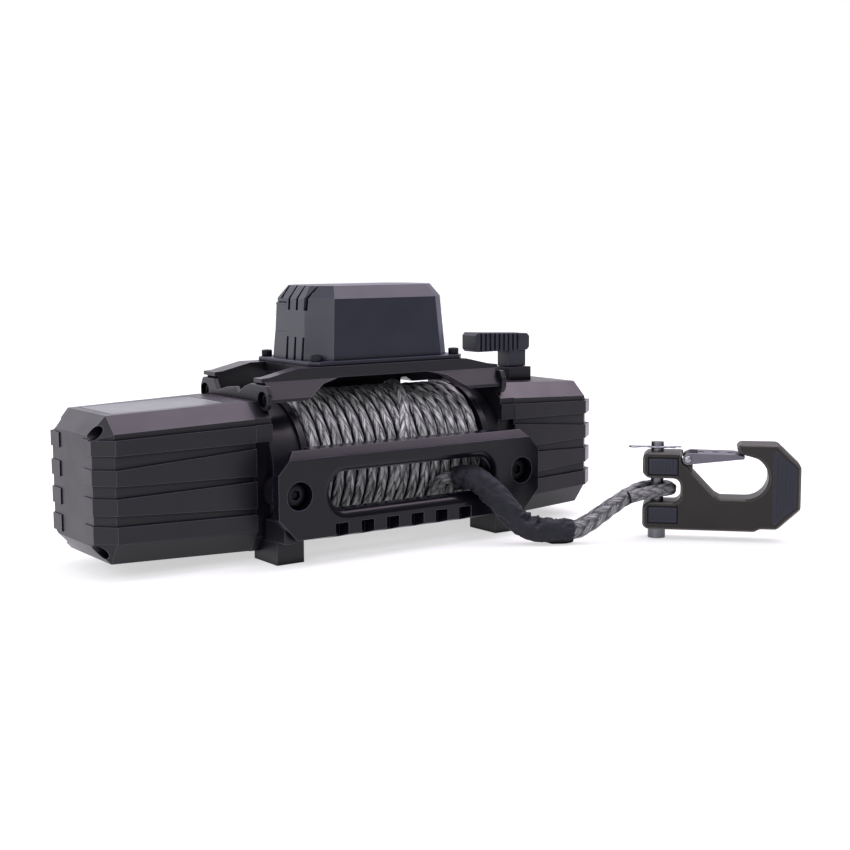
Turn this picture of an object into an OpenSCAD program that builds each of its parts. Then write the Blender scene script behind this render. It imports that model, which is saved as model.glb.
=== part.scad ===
/* [Mounting feet] */
// Distance between the left and right rows of foot bolts
foot_pitch_x = 254; // [252:1:258]
// Distance between the front and rear foot bolts
foot_pitch_y = 114.3; // [112:0.1:118]
// Radius of the foot bolt holes
foot_hole_r = 5.25; // [4.5:0.25:6]
// Foot beyond its bolt row, on the outer side
foot_outer = 12; // [11:0.5:13]
// Foot beyond its bolt row, on the drum side
foot_inner = 16; // [15:0.5:18]
// Foot beyond the bolts, to the front and to the rear
foot_end = 24; // [20:0.5:25]
// Foot length inward from the bolts
foot_back = 18; // [14:1:19]
// Height of a foot
foot_h = 20.5; // [18:0.5:22]

/* [Drum] */
// Height of the drum's axis above the feet
axis_z = 78; // [77:0.5:80]
// Outer radius of the drum tube
drum_r = 32; // [30:0.5:34]
// Wall of the drum tube
drum_wall = 6; // [4:0.5:8]
// Radius of the drum's flanges
drum_flange_r = 68; // [66:0.5:69]
// Thickness of a drum flange
drum_flange_t = 6; // [4:0.5:7]
// Running gap beside a drum flange
drum_gap = 0.6; // [0.4:0.1:1]
// Reach of the drum's journal into its bushing
journal_len = 18; // [14:1:22]

/* [Rope] */
// Diameter of the rope as wound
rope_d = 11.8; // [11:0.1:11.9]
// Step from one turn to the next
rope_pitch = 12.3; // [12.3:0.1:12.6]
// Radius of the outer layer's centre line
rope_layer_r = 65; // [64:0.5:66]
// Turns of the finished part of the outer layer
outer_turns = 11; // [8:1:11]
// Turns of the layer beneath that show at the right
lower_turns = 4.5; // [2:0.5:4.5]
// How much nearer to the axis the lower turns lie
lower_drop = 1; // [0.5:0.5:2]
// Diameter of the protective sleeve
sleeve_d = 24; // [20:1:24]
// Diameter of the spliced rope at the sleeve
splice_d = 20; // [16:1:22]
// Diameter of each leg of the eye
eye_rope_d = 12.6; // [11:0.2:13]

/* [Supports] */
// Supports' outer faces beyond the bolt rows
support_beyond = 22; // [21:0.5:24]
// Thickness of a support's plate
support_t = 17; // [15:0.5:18]
// Half width of a support's plate
support_half_w = 62; // [61:0.5:64]
// Lower edge of a support's plate
support_z0 = 9; // [8:0.5:11]
// Upper edge of a support's plate
support_z1 = 147; // [146:0.5:148]
// Reach of the left collar from its plate
collar_l = 30; // [26:1:31]
// Reach of the right collar from its plate
collar_r_len = 16; // [12:1:18]
// Outer radius of the collars
collar_r = 65; // [60:0.5:67]
// Wall of the bushings
bushing_wall = 4; // [3:0.5:6]
// Radius of the lower tie rods
tie_r = 6.5; // [5:0.5:7]
// How deep the tie rods sit in the feet
tie_seat = 5; // [3:0.5:7]

/* [Covers] */
// Length of the motor cover
motor_cover_l = 147.5; // [140:0.5:160]
// Length of the gearbox cover
gear_cover_l = 101; // [96:0.5:110]
// Half width of a cover at its end face
cover_half_w = 58.5; // [57:0.5:60]
// Lower edge of a cover at its end face
cover_z0 = 13.6; // [12:0.2:15]
// Upper edge of a cover at its end face
cover_z1 = 142.4; // [141:0.2:143]
// Growth of a cover from its end face to its support
cover_draft = 4; // [2:0.5:4]
// Width of the upper long chamfer
top_chamfer_y = 16.8; // [12:0.2:18]
// Height of the upper long chamfer
top_chamfer_z = 14.6; // [12:0.2:16]
// Width of the lower long chamfer
low_chamfer_y = 13.5; // [10:0.5:15]
// Height of the lower long chamfer
low_chamfer_z = 19; // [14:0.5:21]
// Width and length of the upright corner chamfers
corner_chamfer = 14.6; // [10:0.2:16]
// Drop of the chamfer between the end face and the top
end_chamfer_z = 16.2; // [12:0.2:18]
// Wall of the covers
cover_wall = 4; // [3:0.5:5]
// How far the raised bands stand out
band_out = 2.7; // [1.5:0.1:3.5]
// How far the bands reach onto the end face
band_wrap = 18; // [12:1:22]
// Depth of the bare label field on the motor cover
label_depth = 0.8; // [0.4:0.1:1.2]
// Radius of a cover screw
cover_screw_r = 3; // [2.5:0.5:3.5]
// Radius of a cover screw's recess
recess_r = 6.5; // [5.5:0.5:7]
// Depth of a cover screw's recess
recess_depth = 20; // [16:0.5:24]

/* [Motor and gears] */
// Radius of the motor can
can_r = 50; // [46:0.5:52]
// Room between the motor can and the cover's end
can_room = 35.5; // [30:0.5:40]
// Wall of the motor can
can_wall = 5; // [4:0.5:7]
// Radius of the armature
armature_r = 34; // [30:0.5:36]
// How much shorter the armature is than the can
armature_short = 42; // [38:1:50]
// Radius of the commutator
commutator_r = 22; // [18:0.5:26]
// Radius of the drive shaft
shaft_r = 7; // [6:0.5:8]
// Running clearance of every shaft, journal and pin
run_clear = 0.05; // [0.03:0.01:0.08]
// Tooth size of the final planetary stage
gear_module = 2; // [2:0.1:2.2]
// Width of the final planetary stage
gear_w = 24; // [18:1:28]

/* [Fairlead] */
// Height of the fairlead's centre
fairlead_z = 65; // [63:0.5:67]
// Fairlead beyond its bolts
fairlead_end = 21.5; // [20:0.5:24]
// Height of the fairlead
fairlead_h = 80; // [76:1:84]
// Depth of the body round the slot
fairlead_depth = 24; // [20:0.5:25]
// Thickness of the end flanges
flange_t = 10; // [8:0.5:12]
// Front face of the fairlead, from the drum's axis
fairlead_y = 102.4; // [101:0.2:105]
// Half the slot's straight length
slot_half = 76; // [70:1:78]
// Radius of the slot's throat
slot_r = 17; // [15:0.5:18]
// Radius of the rounded lips
lip_r = 9; // [7:0.5:9]
// Radius of the bolts' counterbores
counterbore_r = 13; // [12:0.5:13.5]

/* [Bridge] */
// Height of the bridge's deck
bridge_z = 174; // [173:0.5:176]
// Length of the slope from the supports up to the level deck
bridge_slope = 35; // [30:1:38]
// Thickness of the deck
deck_t = 9; // [7:0.5:10]
// Lower end of the bridge's legs
leg_z = 145; // [143:0.5:147]
// Width of a leg at its foot
leg_w = 38; // [32:1:40]

/* [Control box] */
// Length of the control box at its foot
box_l = 166; // [160:1:170]
// Depth of the control box at its foot
box_w = 99; // [94:1:100]
// Height of the control box above its plate
box_h = 70; // [62:1:74]
// Thickness of the box's plate
plate_t = 4; // [3:0.5:5]
// Plate beyond the box
plate_rim = 6; // [4:0.5:8]
// Wall of the box
box_wall = 3; // [2:0.5:4]
// Drop of the box's upper chamfer
box_chamfer_z = 12; // [8:1:14]
// Number of grooves between the fins at the box's left
fin_grooves = 4; // [3:1:4]

/* [Clutch lever] */
// Distance of the lever's pivot from the winch's middle
lever_x = 196.5; // [192:0.5:200]
// Length of the lever's grip
grip_l = 72; // [64:1:76]
// Width of the lever's grip
grip_w = 23; // [18:0.5:25]
// Height of the lever's grip
grip_h = 20; // [16:0.5:22]
// Number of grooves in the grip
grip_grooves = 9; // [6:1:9]
// Height of the lever's block on the cover
lever_base_h = 15; // [12:0.5:18]

/* [Hook] */
// Thickness of the hook
hook_t = 32; // [30:0.5:34]
// Underside of the hook above the ground
hook_z0 = 10; // [9.5:0.1:10.5]
// Radius of the hook's pin
hook_pin_r = 6.2; // [5.5:0.1:6.3]
// Direction of the hook, turned from the winch's length
hook_turn = -46; // [-55:1:-35]
// Thickness of the gate's cheeks
cheek_t = 2.5; // [2:0.1:3]
// How far the hook's grips stand out
grip_out = 0.8; // [0.4:0.1:1.2]

/* [Hidden] */
$fn = 64;
over = 1;
skin = 0.01;
seat_gap = 0.3;
black = "#1c1c22";
satin = "#24242b";
steel = "#8f9197";
brass = "#b59a4c";
rope_grey = "#6f7176";

fairlead_pitch = foot_pitch_x;
support_x = foot_pitch_x / 2 + support_beyond;
plate_in = support_x - support_t;
fairlead_l = fairlead_pitch + 2 * fairlead_end;
bridge_top_half = plate_in - bridge_slope;
can_l = motor_cover_l - can_room;
armature_l = can_l - armature_short;
foot_x = foot_pitch_x / 2;
foot_y = foot_pitch_y / 2;
foot_front = foot_y + foot_end;

// Drum between its two collars
collar_x0 = -plate_in + collar_l;
collar_x1 = plate_in - collar_r_len;
drum_x0 = collar_x0 + drum_gap;
drum_x1 = collar_x1 - drum_gap;
wind_x0 = drum_x0 + drum_flange_t;
wind_x1 = drum_x1 - drum_flange_t;
journal_x0 = drum_x0 - journal_len;
journal_x1 = drum_x1 + journal_len;
bushing_r = drum_r + run_clear;
bushing_seat_r = bushing_r + bushing_wall;
drum_bore = drum_r - drum_wall;
anchor_r = 4;

// Bosses on the supports
tie_cover = 0.5;
tie_z = foot_h - tie_r - tie_cover;
tie_y = [52, 70];
crown_foot_z = 146;
lug_top_z = 162;
lug_side_z = 150;
lug_in = [6, 28];
crown_web = [[-22, 158], [-9.5, 151.5], [-5, 156.5], [12, 155], [30, 151.5]];
waist_in = 3.5;
boss_bore_r = 7.5;
boss_bore_depth = 9;
bridge_bolt_r = 4;
bridge_bolt_y = 50;
bridge_bolt_z = 152;
bridge_bolt_l = 30;
fair_boss_r = 14;
fair_pad_r = 18;
fair_pad_t = 8;
fair_web = 5;
fair_bolt_r = 6;
fair_bolt_l = 34;
fair_head_r = 10;
fair_head_h = 5;
motor_spigot_r = 30;

// Covers
band_count = 4;
band_end_shares = [[0.153, 0.27], [0.344, 0.457], [0.541, 0.648], [0.743, 0.847]];
band_seam_shares = [[0.149, 0.262], [0.303, 0.482], [0.518, 0.699], [0.739, 0.851]];
end_chamfer_share = 0.3;
screw_drop_share = 0.6;
post_r = 9;
screw_y = cover_half_w - top_chamfer_y;
screw_z_high = cover_z1 - top_chamfer_z;
screw_z_low = cover_z0 + screw_drop_share * low_chamfer_z;
screw_head_r = 5;
screw_head_h = 5;
screw_grip = 12;
label_margin = 16;
label_half_w = 36;

// Motor, from the left support outward
coil_d0 = 14;
coil_short = 34;
coil_l = can_l - coil_short;
coil_gap = 1.5;
coil_slot = 9;
armature_d = 19;
commutator_l = 14;
commutator_d = armature_d + armature_l + 2 * seat_gap;
brush_ring_w = 5;
brush_ring_t = 6;
brush_w = 10;
brush_count = 4;
bell_t = 6;
bell_hub_r = 14;
bell_hub_l = 12;
fit = 0.1;

// Final planetary stage, from the right support outward
sun_teeth = 12;
planet_teeth = 15;
ring_teeth = sun_teeth + 2 * planet_teeth;
pressure_angle = 25;
addendum_share = 0.9;
dedendum_share = 1.2;
backlash = 0.16;
flank_steps = 5;
ring_wall = 5.5;
carrier_d = 1.5;
carrier_t = 8;
gear_d = carrier_d + carrier_t + 1.5;
planet_orbit = gear_module * (sun_teeth + planet_teeth) / 2;
planet_pin_r = 6;
carrier_r = planet_orbit + planet_pin_r + 3;
carrier_hub_r = 15;
hub_gap = 0.6;
ring_r = gear_module * ring_teeth / 2 + dedendum_share * gear_module + ring_wall;
ring_l = gear_d + gear_w + 1.5;
sun_disc_t = 6;
sun_disc_r = 30;
cartridge_room = 63;
cartridge_l = gear_cover_l - cartridge_room;
cartridge_gap = 1.5;

// Clutch lever
lever_block_x = 29;
lever_block_y = 30;
lever_block_z0 = 143;
stem_x = 23;
stem_y = 19;
stem_h = 17;
stem_gap = 0.6;
grip_behind = 15;
grip_groove_w = 2.6;
grip_groove_d = 1.6;
grip_round = 3;
clutch_shaft_r = 8;
grip_taper = 2.5;

// Bridge
bridge_tip = 4;
pad_z = 162.8;
pad_t = 3.7;
shoulder_in = 4;
shoulder_x = plate_in - shoulder_in;
shoulder_drop = 8;
arch_in = [40, 60, 79];
arch_x = [for (a = arch_in) plate_in - a];
arch_z = [145, 158.6, 163.5];
bridge_front_low = 62;
bridge_front_high = 52;
bridge_knee_low = 148;
bridge_knee_high = 163;
deck_front = 52;
deck_rear = 61;
arm_inner = 38;
notch_gap = 2;
skirt_z = 150;

// Control box
box_x0 = -73;
box_y0 = -42.3;
box_corner = 20.5;
plate_corner = 8;
box_draft = 4;
box_top_in = 10;
box_bolt_in = 9;
box_bolt_r = 3;
box_bolt_head_r = 5;
box_bolt_head_h = 6;
box_bolt_l = 14;
box_z = bridge_z + plate_t;
fin_groove_w = 5.5;
fin_groove_floor = 1;
fin_groove_d = 5;
fin_pitch = 14.5;
fin_y0 = -19;
fin_top_shares = [0.67, 0.67, 0.67, 0.82];
fin_low_share = 0.31;
flap_y0 = 15;
flap_w = 20;
flap_h = 26;
flap_z0 = box_z + 26;
flap_x = box_x0 + 8.5;
flap_sink = 0.5;
flap_pin_r = 1.2;
flap_pin_seat = 2;
flap_knuckle_r = 2.3;
socket_r = 9;
socket_bore_r = 6.5;
socket_l = 16;
contactor_room = 62;
contactor_size = [box_l - contactor_room, 52, 36];
stud_r = 4;
stud_h = 11;
stud_pitch = 26;
stud_count = 4;

// Fairlead
fair_front = -fairlead_y;
fair_body_in = 19;
fair_body_half = fairlead_pitch / 2 - fair_body_in;
fair_corner_x = 18.5;
fair_corner_z = 20;
fair_top_bevel = 7;
fin_pocket_w = 14;
fin_step = 28;
fin_height = 11;
fin_wall = 8;
fin_count = 6;
fin_x0 = -90;

// Hook, measured along its length from the pin and up from the ground
hook_x = 228;
hook_y = -188.4;
hook_l = 150;
hook_h = 85.2;
hook_back = 13.7;
throat_z = [27.2, 50.3];
throat_end = 36.3;
throat_round = 7;
throat_lip = 5;
heel_shares = [[0.027, 0], [0, 0.045], [0, 0.27]];
crown_shares = [[0, 0.648], [0, 0.839], [0.028, 0.888], [0.255, 0.888]];
bow_shares = [[0.315, 0.675], [0.46, 0.408], [0.496, 0.376]];
lip_shares = [[0.687, 0.857], [0.651, 0.871], [0.617, 0.89], [0.593, 0.937], [0.602, 0.981], [0.624, 1]];
nose_shares = [[0.854, 1], [1, 0.754], [1, 0.27], [0.855, 0.033], [0.74, 0.033], [0.72, 0]];
mouth_x = 98.4;
mouth_z = 53;
mouth_r = 21;
pocket_arc = [140, 262];
neck_drop_shares = [2, 2.6];
pivot_x = 43;
pivot_z = 69.5;
pivot_r = 5;
pivot_clear = 0.9;
neck_in = 0.4;
gate_tip_x = 96.3;
gate_tip_z = 73;
gate_high_x = 87.3;
gate_high_z = 75.2;
gate_tip_t = 2.2;
gate_tip_lean = 0.6;
gate_back_x = 2;
gate_back_rise = 0.4;
gate_roof = 4.2;
gate_skin = 2.2;
gate_arc = [120, 278];
gate_holes = 3;
gate_hole_x0 = 12;
gate_hole_r = 3;
gate_hole_l = 7;
gate_hole_step = 14;
gate_pin_r = 2;
spring_w = 6;
spring_r = 4;
spring_wire = 1.2;
spring_turns = 4;
spring_pitch_share = 1.2;
pin_proud = 0.6;
pin_head_r = 8.6;
pin_head_h = 9.4;
pin_top = 94.5;
clip_r = 0.8;
clip_z = 89.8;
clip_l = 48;
clip_back = 25;
grip_depth = 2;
grip_pad = [[5.6, 33.8], [6.7, 22.8], [54, 70.5]];
grip_rib_w = 2;
grip_rib_step = 3.4;
grip_rib_d = 0.9;
end_grip = [[124.8, 78.5], [144.4, 62.9], [144.4, 25.5], [124.8, 9]];

// Free rope: its route from the drum to the hook, hand laid
lead_route = [[50, -76, 60.4], [57, -80, 61], [60, -83, 61.4]];
sleeve_route = [[60, -83, 61.4], [66, -92, 62.2], [73, -104, 58.5], [81, -116, 48], [89, -126, 35],
    [98, -134, 22], [109, -143, 14.5], [124, -153, 12.5], [141, -162, 12.5]];
tail_route = [[141, -162, 12.5], [152, -168, 17], [164, -174, 25.5], [177, -179, 34.5],
    [192, -182.8, 42.5]];
eye_turn = -9;
eye_tail_x = -35;
eye_tail_drop = 5.5;
eye_mid_x = -17;
eye_mid_in = 2;
eye_mid_drop = 1.2;
tail_end_share = 1.3;
eye_inner = hook_pin_r + seat_gap;
eye_z = 48.5;

// Shapes that many pieces share
module along_x(x0, x1) {
    translate([x0, 0, 0]) rotate([90, 0, 90]) linear_extrude(x1 - x0) children();
}
module along_y(y0, y1) {
    translate([0, y1, 0]) rotate([90, 0, 0]) linear_extrude(y1 - y0) children();
}
module x_rod(x0, x1, r) {
    translate([x0, 0, 0]) rotate([0, 90, 0]) cylinder(h = x1 - x0, r = r);
}
module y_rod(y0, y1, r) {
    translate([0, y0, 0]) rotate([-90, 0, 0]) cylinder(h = y1 - y0, r = r);
}
module z_rod(z0, z1, r) {
    translate([0, 0, z0]) cylinder(h = z1 - z0, r = r);
}
module x_ring(x0, x1, r, bore) {
    difference() {
        x_rod(x0, x1, r);
        x_rod(x0 - over, x1 + over, bore);
    }
}
module block(lo, hi) {
    translate(lo) cube(hi - lo);
}
module at_axis() {
    translate([0, 0, axis_z]) children();
}
module on_right() {
    translate([support_x, 0, 0]) children();
}
module on_left() {
    mirror([1, 0, 0]) on_right() children();
}
function box_profile(hw, z0, z1, ty, tz, ly, lz) = [
    [-hw, z0 + lz], [-hw, z1 - tz], [-hw + ty, z1], [hw - ty, z1],
    [hw, z1 - tz], [hw, z0 + lz], [hw - ly, z0], [-hw + ly, z0]
];
function arc(c, r, a0, a1, n) = [for (i = [0 : n])
    let (a = a0 + (a1 - a0) * i / n)
    c + r * [cos(a), sin(a)]];

// A round tube swept along a route, with a radius at each point
function unit(v) = v / norm(v);
function heading(p, i) = unit(p[min(i + 1, len(p) - 1)] - p[max(i - 1, 0)]);
function ring(c, t, up, r, sides) =
    let (side = unit(cross(t, up)), lift = cross(side, t))
    [for (j = [0 : sides - 1]) c + r * (cos(360 * j / sides) * side + sin(360 * j / sides) * lift)];
module swept_tube(p, r, sides, up) {
    n = len(p);
    points = [for (i = [0 : n - 1]) each ring(p[i], heading(p, i), up, r[i], sides)];
    walls = [for (i = [0 : n - 2], j = [0 : sides - 1], k = [0, 1])
        let (a = i * sides + j, b = i * sides + (j + 1) % sides)
        k == 0 ? [a, a + sides, b] : [b, a + sides, b + sides]];
    first = [for (j = [1 : sides - 2]) [0, j, j + 1]];
    last = [for (j = [1 : sides - 2]) (n - 1) * sides * [1, 1, 1] + [0, j + 1, j]];
    polyhedron(points, concat(walls, first, last));
}

// The two supports
module support_outline() {
    polygon(box_profile(support_half_w, support_z0, support_z1,
        top_chamfer_y, top_chamfer_z, low_chamfer_y, low_chamfer_z));
}
module support_profile() {
    height = support_z1 - support_z0;
    top_band = band_seam_shares[band_count - 1];
    band_z = support_z0 + top_band[0] * height;
    difference() {
        support_outline();
        for (m = [0, 1]) mirror([m, 0]) translate([support_half_w - waist_in, foot_h])
            square([waist_in + over, band_z - foot_h]);
    }
    translate([-support_half_w - band_out, band_z])
        square([2 * (support_half_w + band_out), (top_band[1] - top_band[0]) * height]);
}
function lug(s) = [[s * support_half_w, crown_foot_z], [s * support_half_w, lug_side_z],
    [s * (support_half_w - lug_in[0]), lug_top_z], [s * (support_half_w - lug_in[1]), lug_top_z]];
module crown_outline() {
    rear = lug(1);
    polygon(concat(lug(-1), crown_web, [for (i = [3 : -1 : 0]) rear[i]]));
}
module foot(rods) {
    difference() {
        union() {
            block([-foot_outer, foot_y - foot_back, 0], [foot_inner, foot_front, foot_h]);
            block([-foot_outer, 0, support_z0], [foot_inner / 2, foot_y, foot_h]);
        }
        translate([0, foot_y, 0]) z_rod(-over, foot_h + over, foot_hole_r);
        for (y = rods) translate([0, y, tie_z]) x_rod(foot_inner - tie_seat, foot_inner + over, tie_r + fit);
    }
}
module support(collar) {
    collar_end = plate_in - collar;
    difference() {
        union() {
            along_x(plate_in, support_x) support_profile();
            along_x(plate_in, support_x) crown_outline();
            at_axis() x_rod(collar_end, plate_in, collar_r);
            translate([fairlead_pitch / 2, 0, fairlead_z])
                y_rod(-fairlead_y + flange_t + fair_pad_t, -collar_r / 2, fair_boss_r);
            mirror([1, 0, 0]) translate([-foot_x, 0, 0]) foot(tie_y);
            mirror([0, 1, 0]) mirror([1, 0, 0]) translate([-foot_x, 0, 0]) foot([]);
        }
        at_axis() x_rod(collar_end - over, collar_end + journal_len + drum_gap + fit, bushing_seat_r);
        at_axis() x_rod(0, collar_end, drum_flange_r + over);
        for (s = [-1, 1]) {
            translate([0, s * bridge_bolt_y, bridge_bolt_z]) {
                x_rod(support_x - boss_bore_depth, support_x + over, boss_bore_r);
                x_rod(plate_in - over, support_x + over, bridge_bolt_r + fit);
            }
            for (z = [screw_z_low, screw_z_high])
                translate([0, s * screw_y, z])
                    x_rod(support_x - screw_grip - over, support_x + over, cover_screw_r);
        }
        translate([fairlead_pitch / 2, 0, fairlead_z])
            y_rod(-fairlead_y - over, -fairlead_y + flange_t + fair_pad_t - fair_web + fair_bolt_l + over,
                fair_bolt_r);
    }
}
module motor_support() {
    color(black) mirror([1, 0, 0]) difference() {
        support(collar_l);
        at_axis() x_rod(plate_in - collar_l - over, support_x + over, shaft_r + run_clear);
    }
}
module gearbox_support() {
    color(black) difference() {
        support(collar_r_len);
        at_axis() x_rod(plate_in - collar_r_len - over, support_x + over, carrier_hub_r + hub_gap);
    }
}
module drum_bushings() {
    color(brass) at_axis() {
        x_ring(journal_x0, collar_x0, bushing_seat_r - fit, bushing_r);
        x_ring(collar_x1, journal_x1, bushing_seat_r - fit, bushing_r);
    }
}
module tie_rods() {
    reach = foot_x - foot_inner + tie_seat;
    color(black) for (y = tie_y) translate([0, y, tie_z]) x_rod(-reach, reach, tie_r);
}

// The motor cover and the gearbox cover
module cover_slice(d, hw, z0, z1, ty, tz, ly, lz) {
    along_x(d, d + skin) polygon(box_profile(hw, z0, z1, ty, tz, ly, lz));
}
module cover_form(l, inset) {
    hull() {
        cover_slice(0, cover_half_w + cover_draft - inset, cover_z0 - cover_draft + inset,
            cover_z1 + cover_draft - inset, top_chamfer_y, top_chamfer_z, low_chamfer_y, low_chamfer_z);
        cover_slice(l - corner_chamfer - inset / 2, cover_half_w - inset, cover_z0 + inset, cover_z1 - inset,
            top_chamfer_y, top_chamfer_z, low_chamfer_y, low_chamfer_z);
        cover_slice(l - inset - skin, cover_half_w - corner_chamfer - inset / 2,
            cover_z0 + end_chamfer_z + inset / 2, cover_z1 - end_chamfer_z - inset / 2,
            end_chamfer_share * top_chamfer_y, end_chamfer_share * top_chamfer_z,
            end_chamfer_share * low_chamfer_y, end_chamfer_share * low_chamfer_z);
    }
}
module band_slice(d, hw, z0, z1) {
    block([d, -hw, z0], [d + skin, hw, z1]);
}
module cover_band(l, i) {
    seam_h = cover_z1 - cover_z0 + 2 * cover_draft;
    end_h = cover_z1 - cover_z0;
    end_z = [for (b = band_end_shares[i]) cover_z0 + end_h * b];
    seam_z = [for (b = band_seam_shares[i]) cover_z0 - cover_draft + seam_h * b];
    hull() {
        band_slice(0, cover_half_w + cover_draft + band_out, seam_z[0], seam_z[1]);
        band_slice(l - corner_chamfer, cover_half_w + band_out, end_z[0], end_z[1]);
        band_slice(l + band_out - skin, cover_half_w - corner_chamfer + band_out / 2, end_z[0], end_z[1]);
    }
}
module cover(l) {
    face_half = cover_half_w - corner_chamfer - band_wrap;
    difference() {
        union() {
            cover_form(l, 0);
            difference() {
                for (i = [0 : band_count - 1]) cover_band(l, i);
                block([l, -face_half, 0], [l + band_out + over, face_half, cover_z1]);
            }
        }
        difference() {
            translate([-over, 0, 0]) cover_form(l + over, cover_wall);
            cover_corners() x_rod(-2 * over, l, post_r);
        }
        cover_corners() {
            x_rod(l - recess_depth, l + band_out + over, recess_r);
            x_rod(-2 * over, l, cover_screw_r + fit);
        }
    }
}
module cover_corners() {
    for (s = [-1, 1], z = [screw_z_low, screw_z_high]) translate([0, s * screw_y, z]) children();
}
module cover_screws(l) {
    cover_corners() {
        x_rod(-screw_grip, l - recess_depth + skin, cover_screw_r - fit);
        x_rod(l - recess_depth, l - recess_depth + screw_head_h, screw_head_r);
    }
}
module label_slice(x) {
    field_z = cover_z1 + cover_draft * (1 - x / motor_cover_l) - label_depth;
    block([x, -label_half_w, field_z], [x + skin, label_half_w, cover_z1 + 2 * cover_draft]);
}
module motor_cover() {
    color(black) on_left() difference() {
        cover(motor_cover_l);
        hull() {
            label_slice(label_margin);
            label_slice(motor_cover_l - corner_chamfer - label_margin / 2);
        }
    }
}
module motor_cover_screws() {
    color(steel) on_left() cover_screws(motor_cover_l);
}
module gearbox_cover() {
    d = lever_x - support_x;
    color(black) on_right() difference() {
        cover(gear_cover_l);
        block([d - lever_block_x / 2 - fit, -lever_block_y / 2 - fit, lever_block_z0],
            [d + lever_block_x / 2 + fit, lever_block_y / 2 + fit, cover_z1 + 2 * cover_draft]);
        translate([d, 0, 0]) z_rod(axis_z, lever_block_z0 + over, clutch_shaft_r + run_clear);
    }
}
module gearbox_cover_screws() {
    color(steel) on_right() cover_screws(gear_cover_l);
}

// Motor
module motor_can() {
    color(black) on_left() at_axis() x_ring(0, can_l, can_r, can_r - can_wall);
}
module field_coils() {
    inner = armature_r + coil_gap;
    color("#8a5a2c") on_left() at_axis() difference() {
        x_ring(coil_d0, coil_d0 + coil_l, can_r - can_wall - fit, inner);
        for (a = [0, 90]) rotate([a, 0, 0])
            block([coil_d0 - over, -coil_slot / 2, -can_r], [coil_d0 + coil_l + over, coil_slot / 2, can_r]);
    }
}
module armature() {
    color(steel) on_left() at_axis() x_ring(armature_d, armature_d + armature_l, armature_r, shaft_r);
}
module commutator() {
    color(brass) on_left() at_axis() x_ring(commutator_d, commutator_d + commutator_l, commutator_r, shaft_r);
}
module brush_ring() {
    outer = can_r - can_wall - fit;
    mid = commutator_d + commutator_l / 2;
    color(brass) on_left() at_axis() {
        x_ring(mid - brush_ring_t / 2, mid + brush_ring_t / 2, outer, outer - brush_ring_w);
        for (k = [0 : brush_count - 1]) rotate([k * 360 / brush_count, 0, 0])
            block([mid - brush_ring_t / 2, -brush_w / 2, commutator_r + seat_gap],
                [mid + brush_ring_t / 2, brush_w / 2, outer - brush_ring_w / 2]);
    }
}
module end_bell() {
    color(black) on_left() at_axis() difference() {
        union() {
            x_rod(can_l, can_l + bell_t, can_r);
            x_rod(can_l, can_l + bell_hub_l, bell_hub_r);
        }
        x_rod(can_l - over, can_l + bell_hub_l + over, shaft_r + run_clear);
    }
}
module drive_shaft() {
    color(steel) at_axis()
        x_rod(-support_x - can_l - bell_hub_l / 2, support_x + ring_l + cartridge_l / 2, shaft_r);
}

// Final planetary stage
function involute(rb, r) = let (t = sqrt(max(pow(r / rb, 2) - 1, 0))) t * 180 / PI - atan(t);
function tooth_half(z, r, grow) =
    let (rp = gear_module * z / 2, rb = rp * cos(pressure_angle))
    90 / z + grow / rp * 90 / PI + involute(rb, rp) - involute(rb, max(r, rb));
function tooth(z, k, r0, r1, grow) = [for (s = [-1, 1], i = [0 : flank_steps])
    let (u = s < 0 ? i : flank_steps - i, r = r0 + (r1 - r0) * u / flank_steps,
        a = 360 * k / z + s * tooth_half(z, r, grow))
    r * [cos(a), sin(a)]];
function gear_outline(z, r0, r1, grow) = [for (k = [0 : z - 1]) each tooth(z, k, r0, r1, grow)];
module gear_shape(z) {
    rp = gear_module * z / 2;
    polygon(gear_outline(z, rp - dedendum_share * gear_module, rp + addendum_share * gear_module, -backlash));
}
module gear_axis(d) {
    on_right() at_axis() translate([d, 0, 0]) rotate([0, 90, 0]) children();
}
module ring_gear() {
    rp = gear_module * ring_teeth / 2;
    color(steel) gear_axis(0) difference() {
        cylinder(h = ring_l, r = ring_r);
        translate([0, 0, gear_d]) linear_extrude(ring_l)
            polygon(gear_outline(ring_teeth, rp - addendum_share * gear_module,
                rp + dedendum_share * gear_module, backlash));
        translate([0, 0, -over]) cylinder(h = ring_l + 2 * over, r = rp - addendum_share * gear_module);
    }
}
module gear_cartridge() {
    bore = shaft_r + run_clear;
    color(steel) gear_axis(ring_l) difference() {
        cylinder(h = cartridge_l, r = ring_r);
        translate([0, 0, -over])
            cylinder(h = sun_disc_t + cartridge_gap + over, r = sun_disc_r + cartridge_gap);
        translate([0, 0, -over]) cylinder(h = cartridge_l + 2 * over, r = bore);
    }
}
module planet_carrier() {
    hub_d = journal_x1 - support_x;
    color(steel) gear_axis(0) difference() {
        union() {
            translate([0, 0, carrier_d]) cylinder(h = carrier_t, r = carrier_r);
            translate([0, 0, hub_d]) cylinder(h = carrier_d - hub_d + over, r = carrier_hub_r);
            translate([0, 0, hub_d - carrier_t]) {
                cylinder(h = carrier_t + over, r = carrier_hub_r);
                cylinder(h = carrier_t, r = drum_bore - fit);
            }
            for (k = [0 : 2]) rotate(120 * k) translate([planet_orbit, 0, carrier_d])
                cylinder(h = gear_d - carrier_d + gear_w, r = planet_pin_r);
        }
        translate([0, 0, hub_d - carrier_t - over]) cylinder(h = support_x, r = shaft_r + hub_gap);
    }
}
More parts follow.
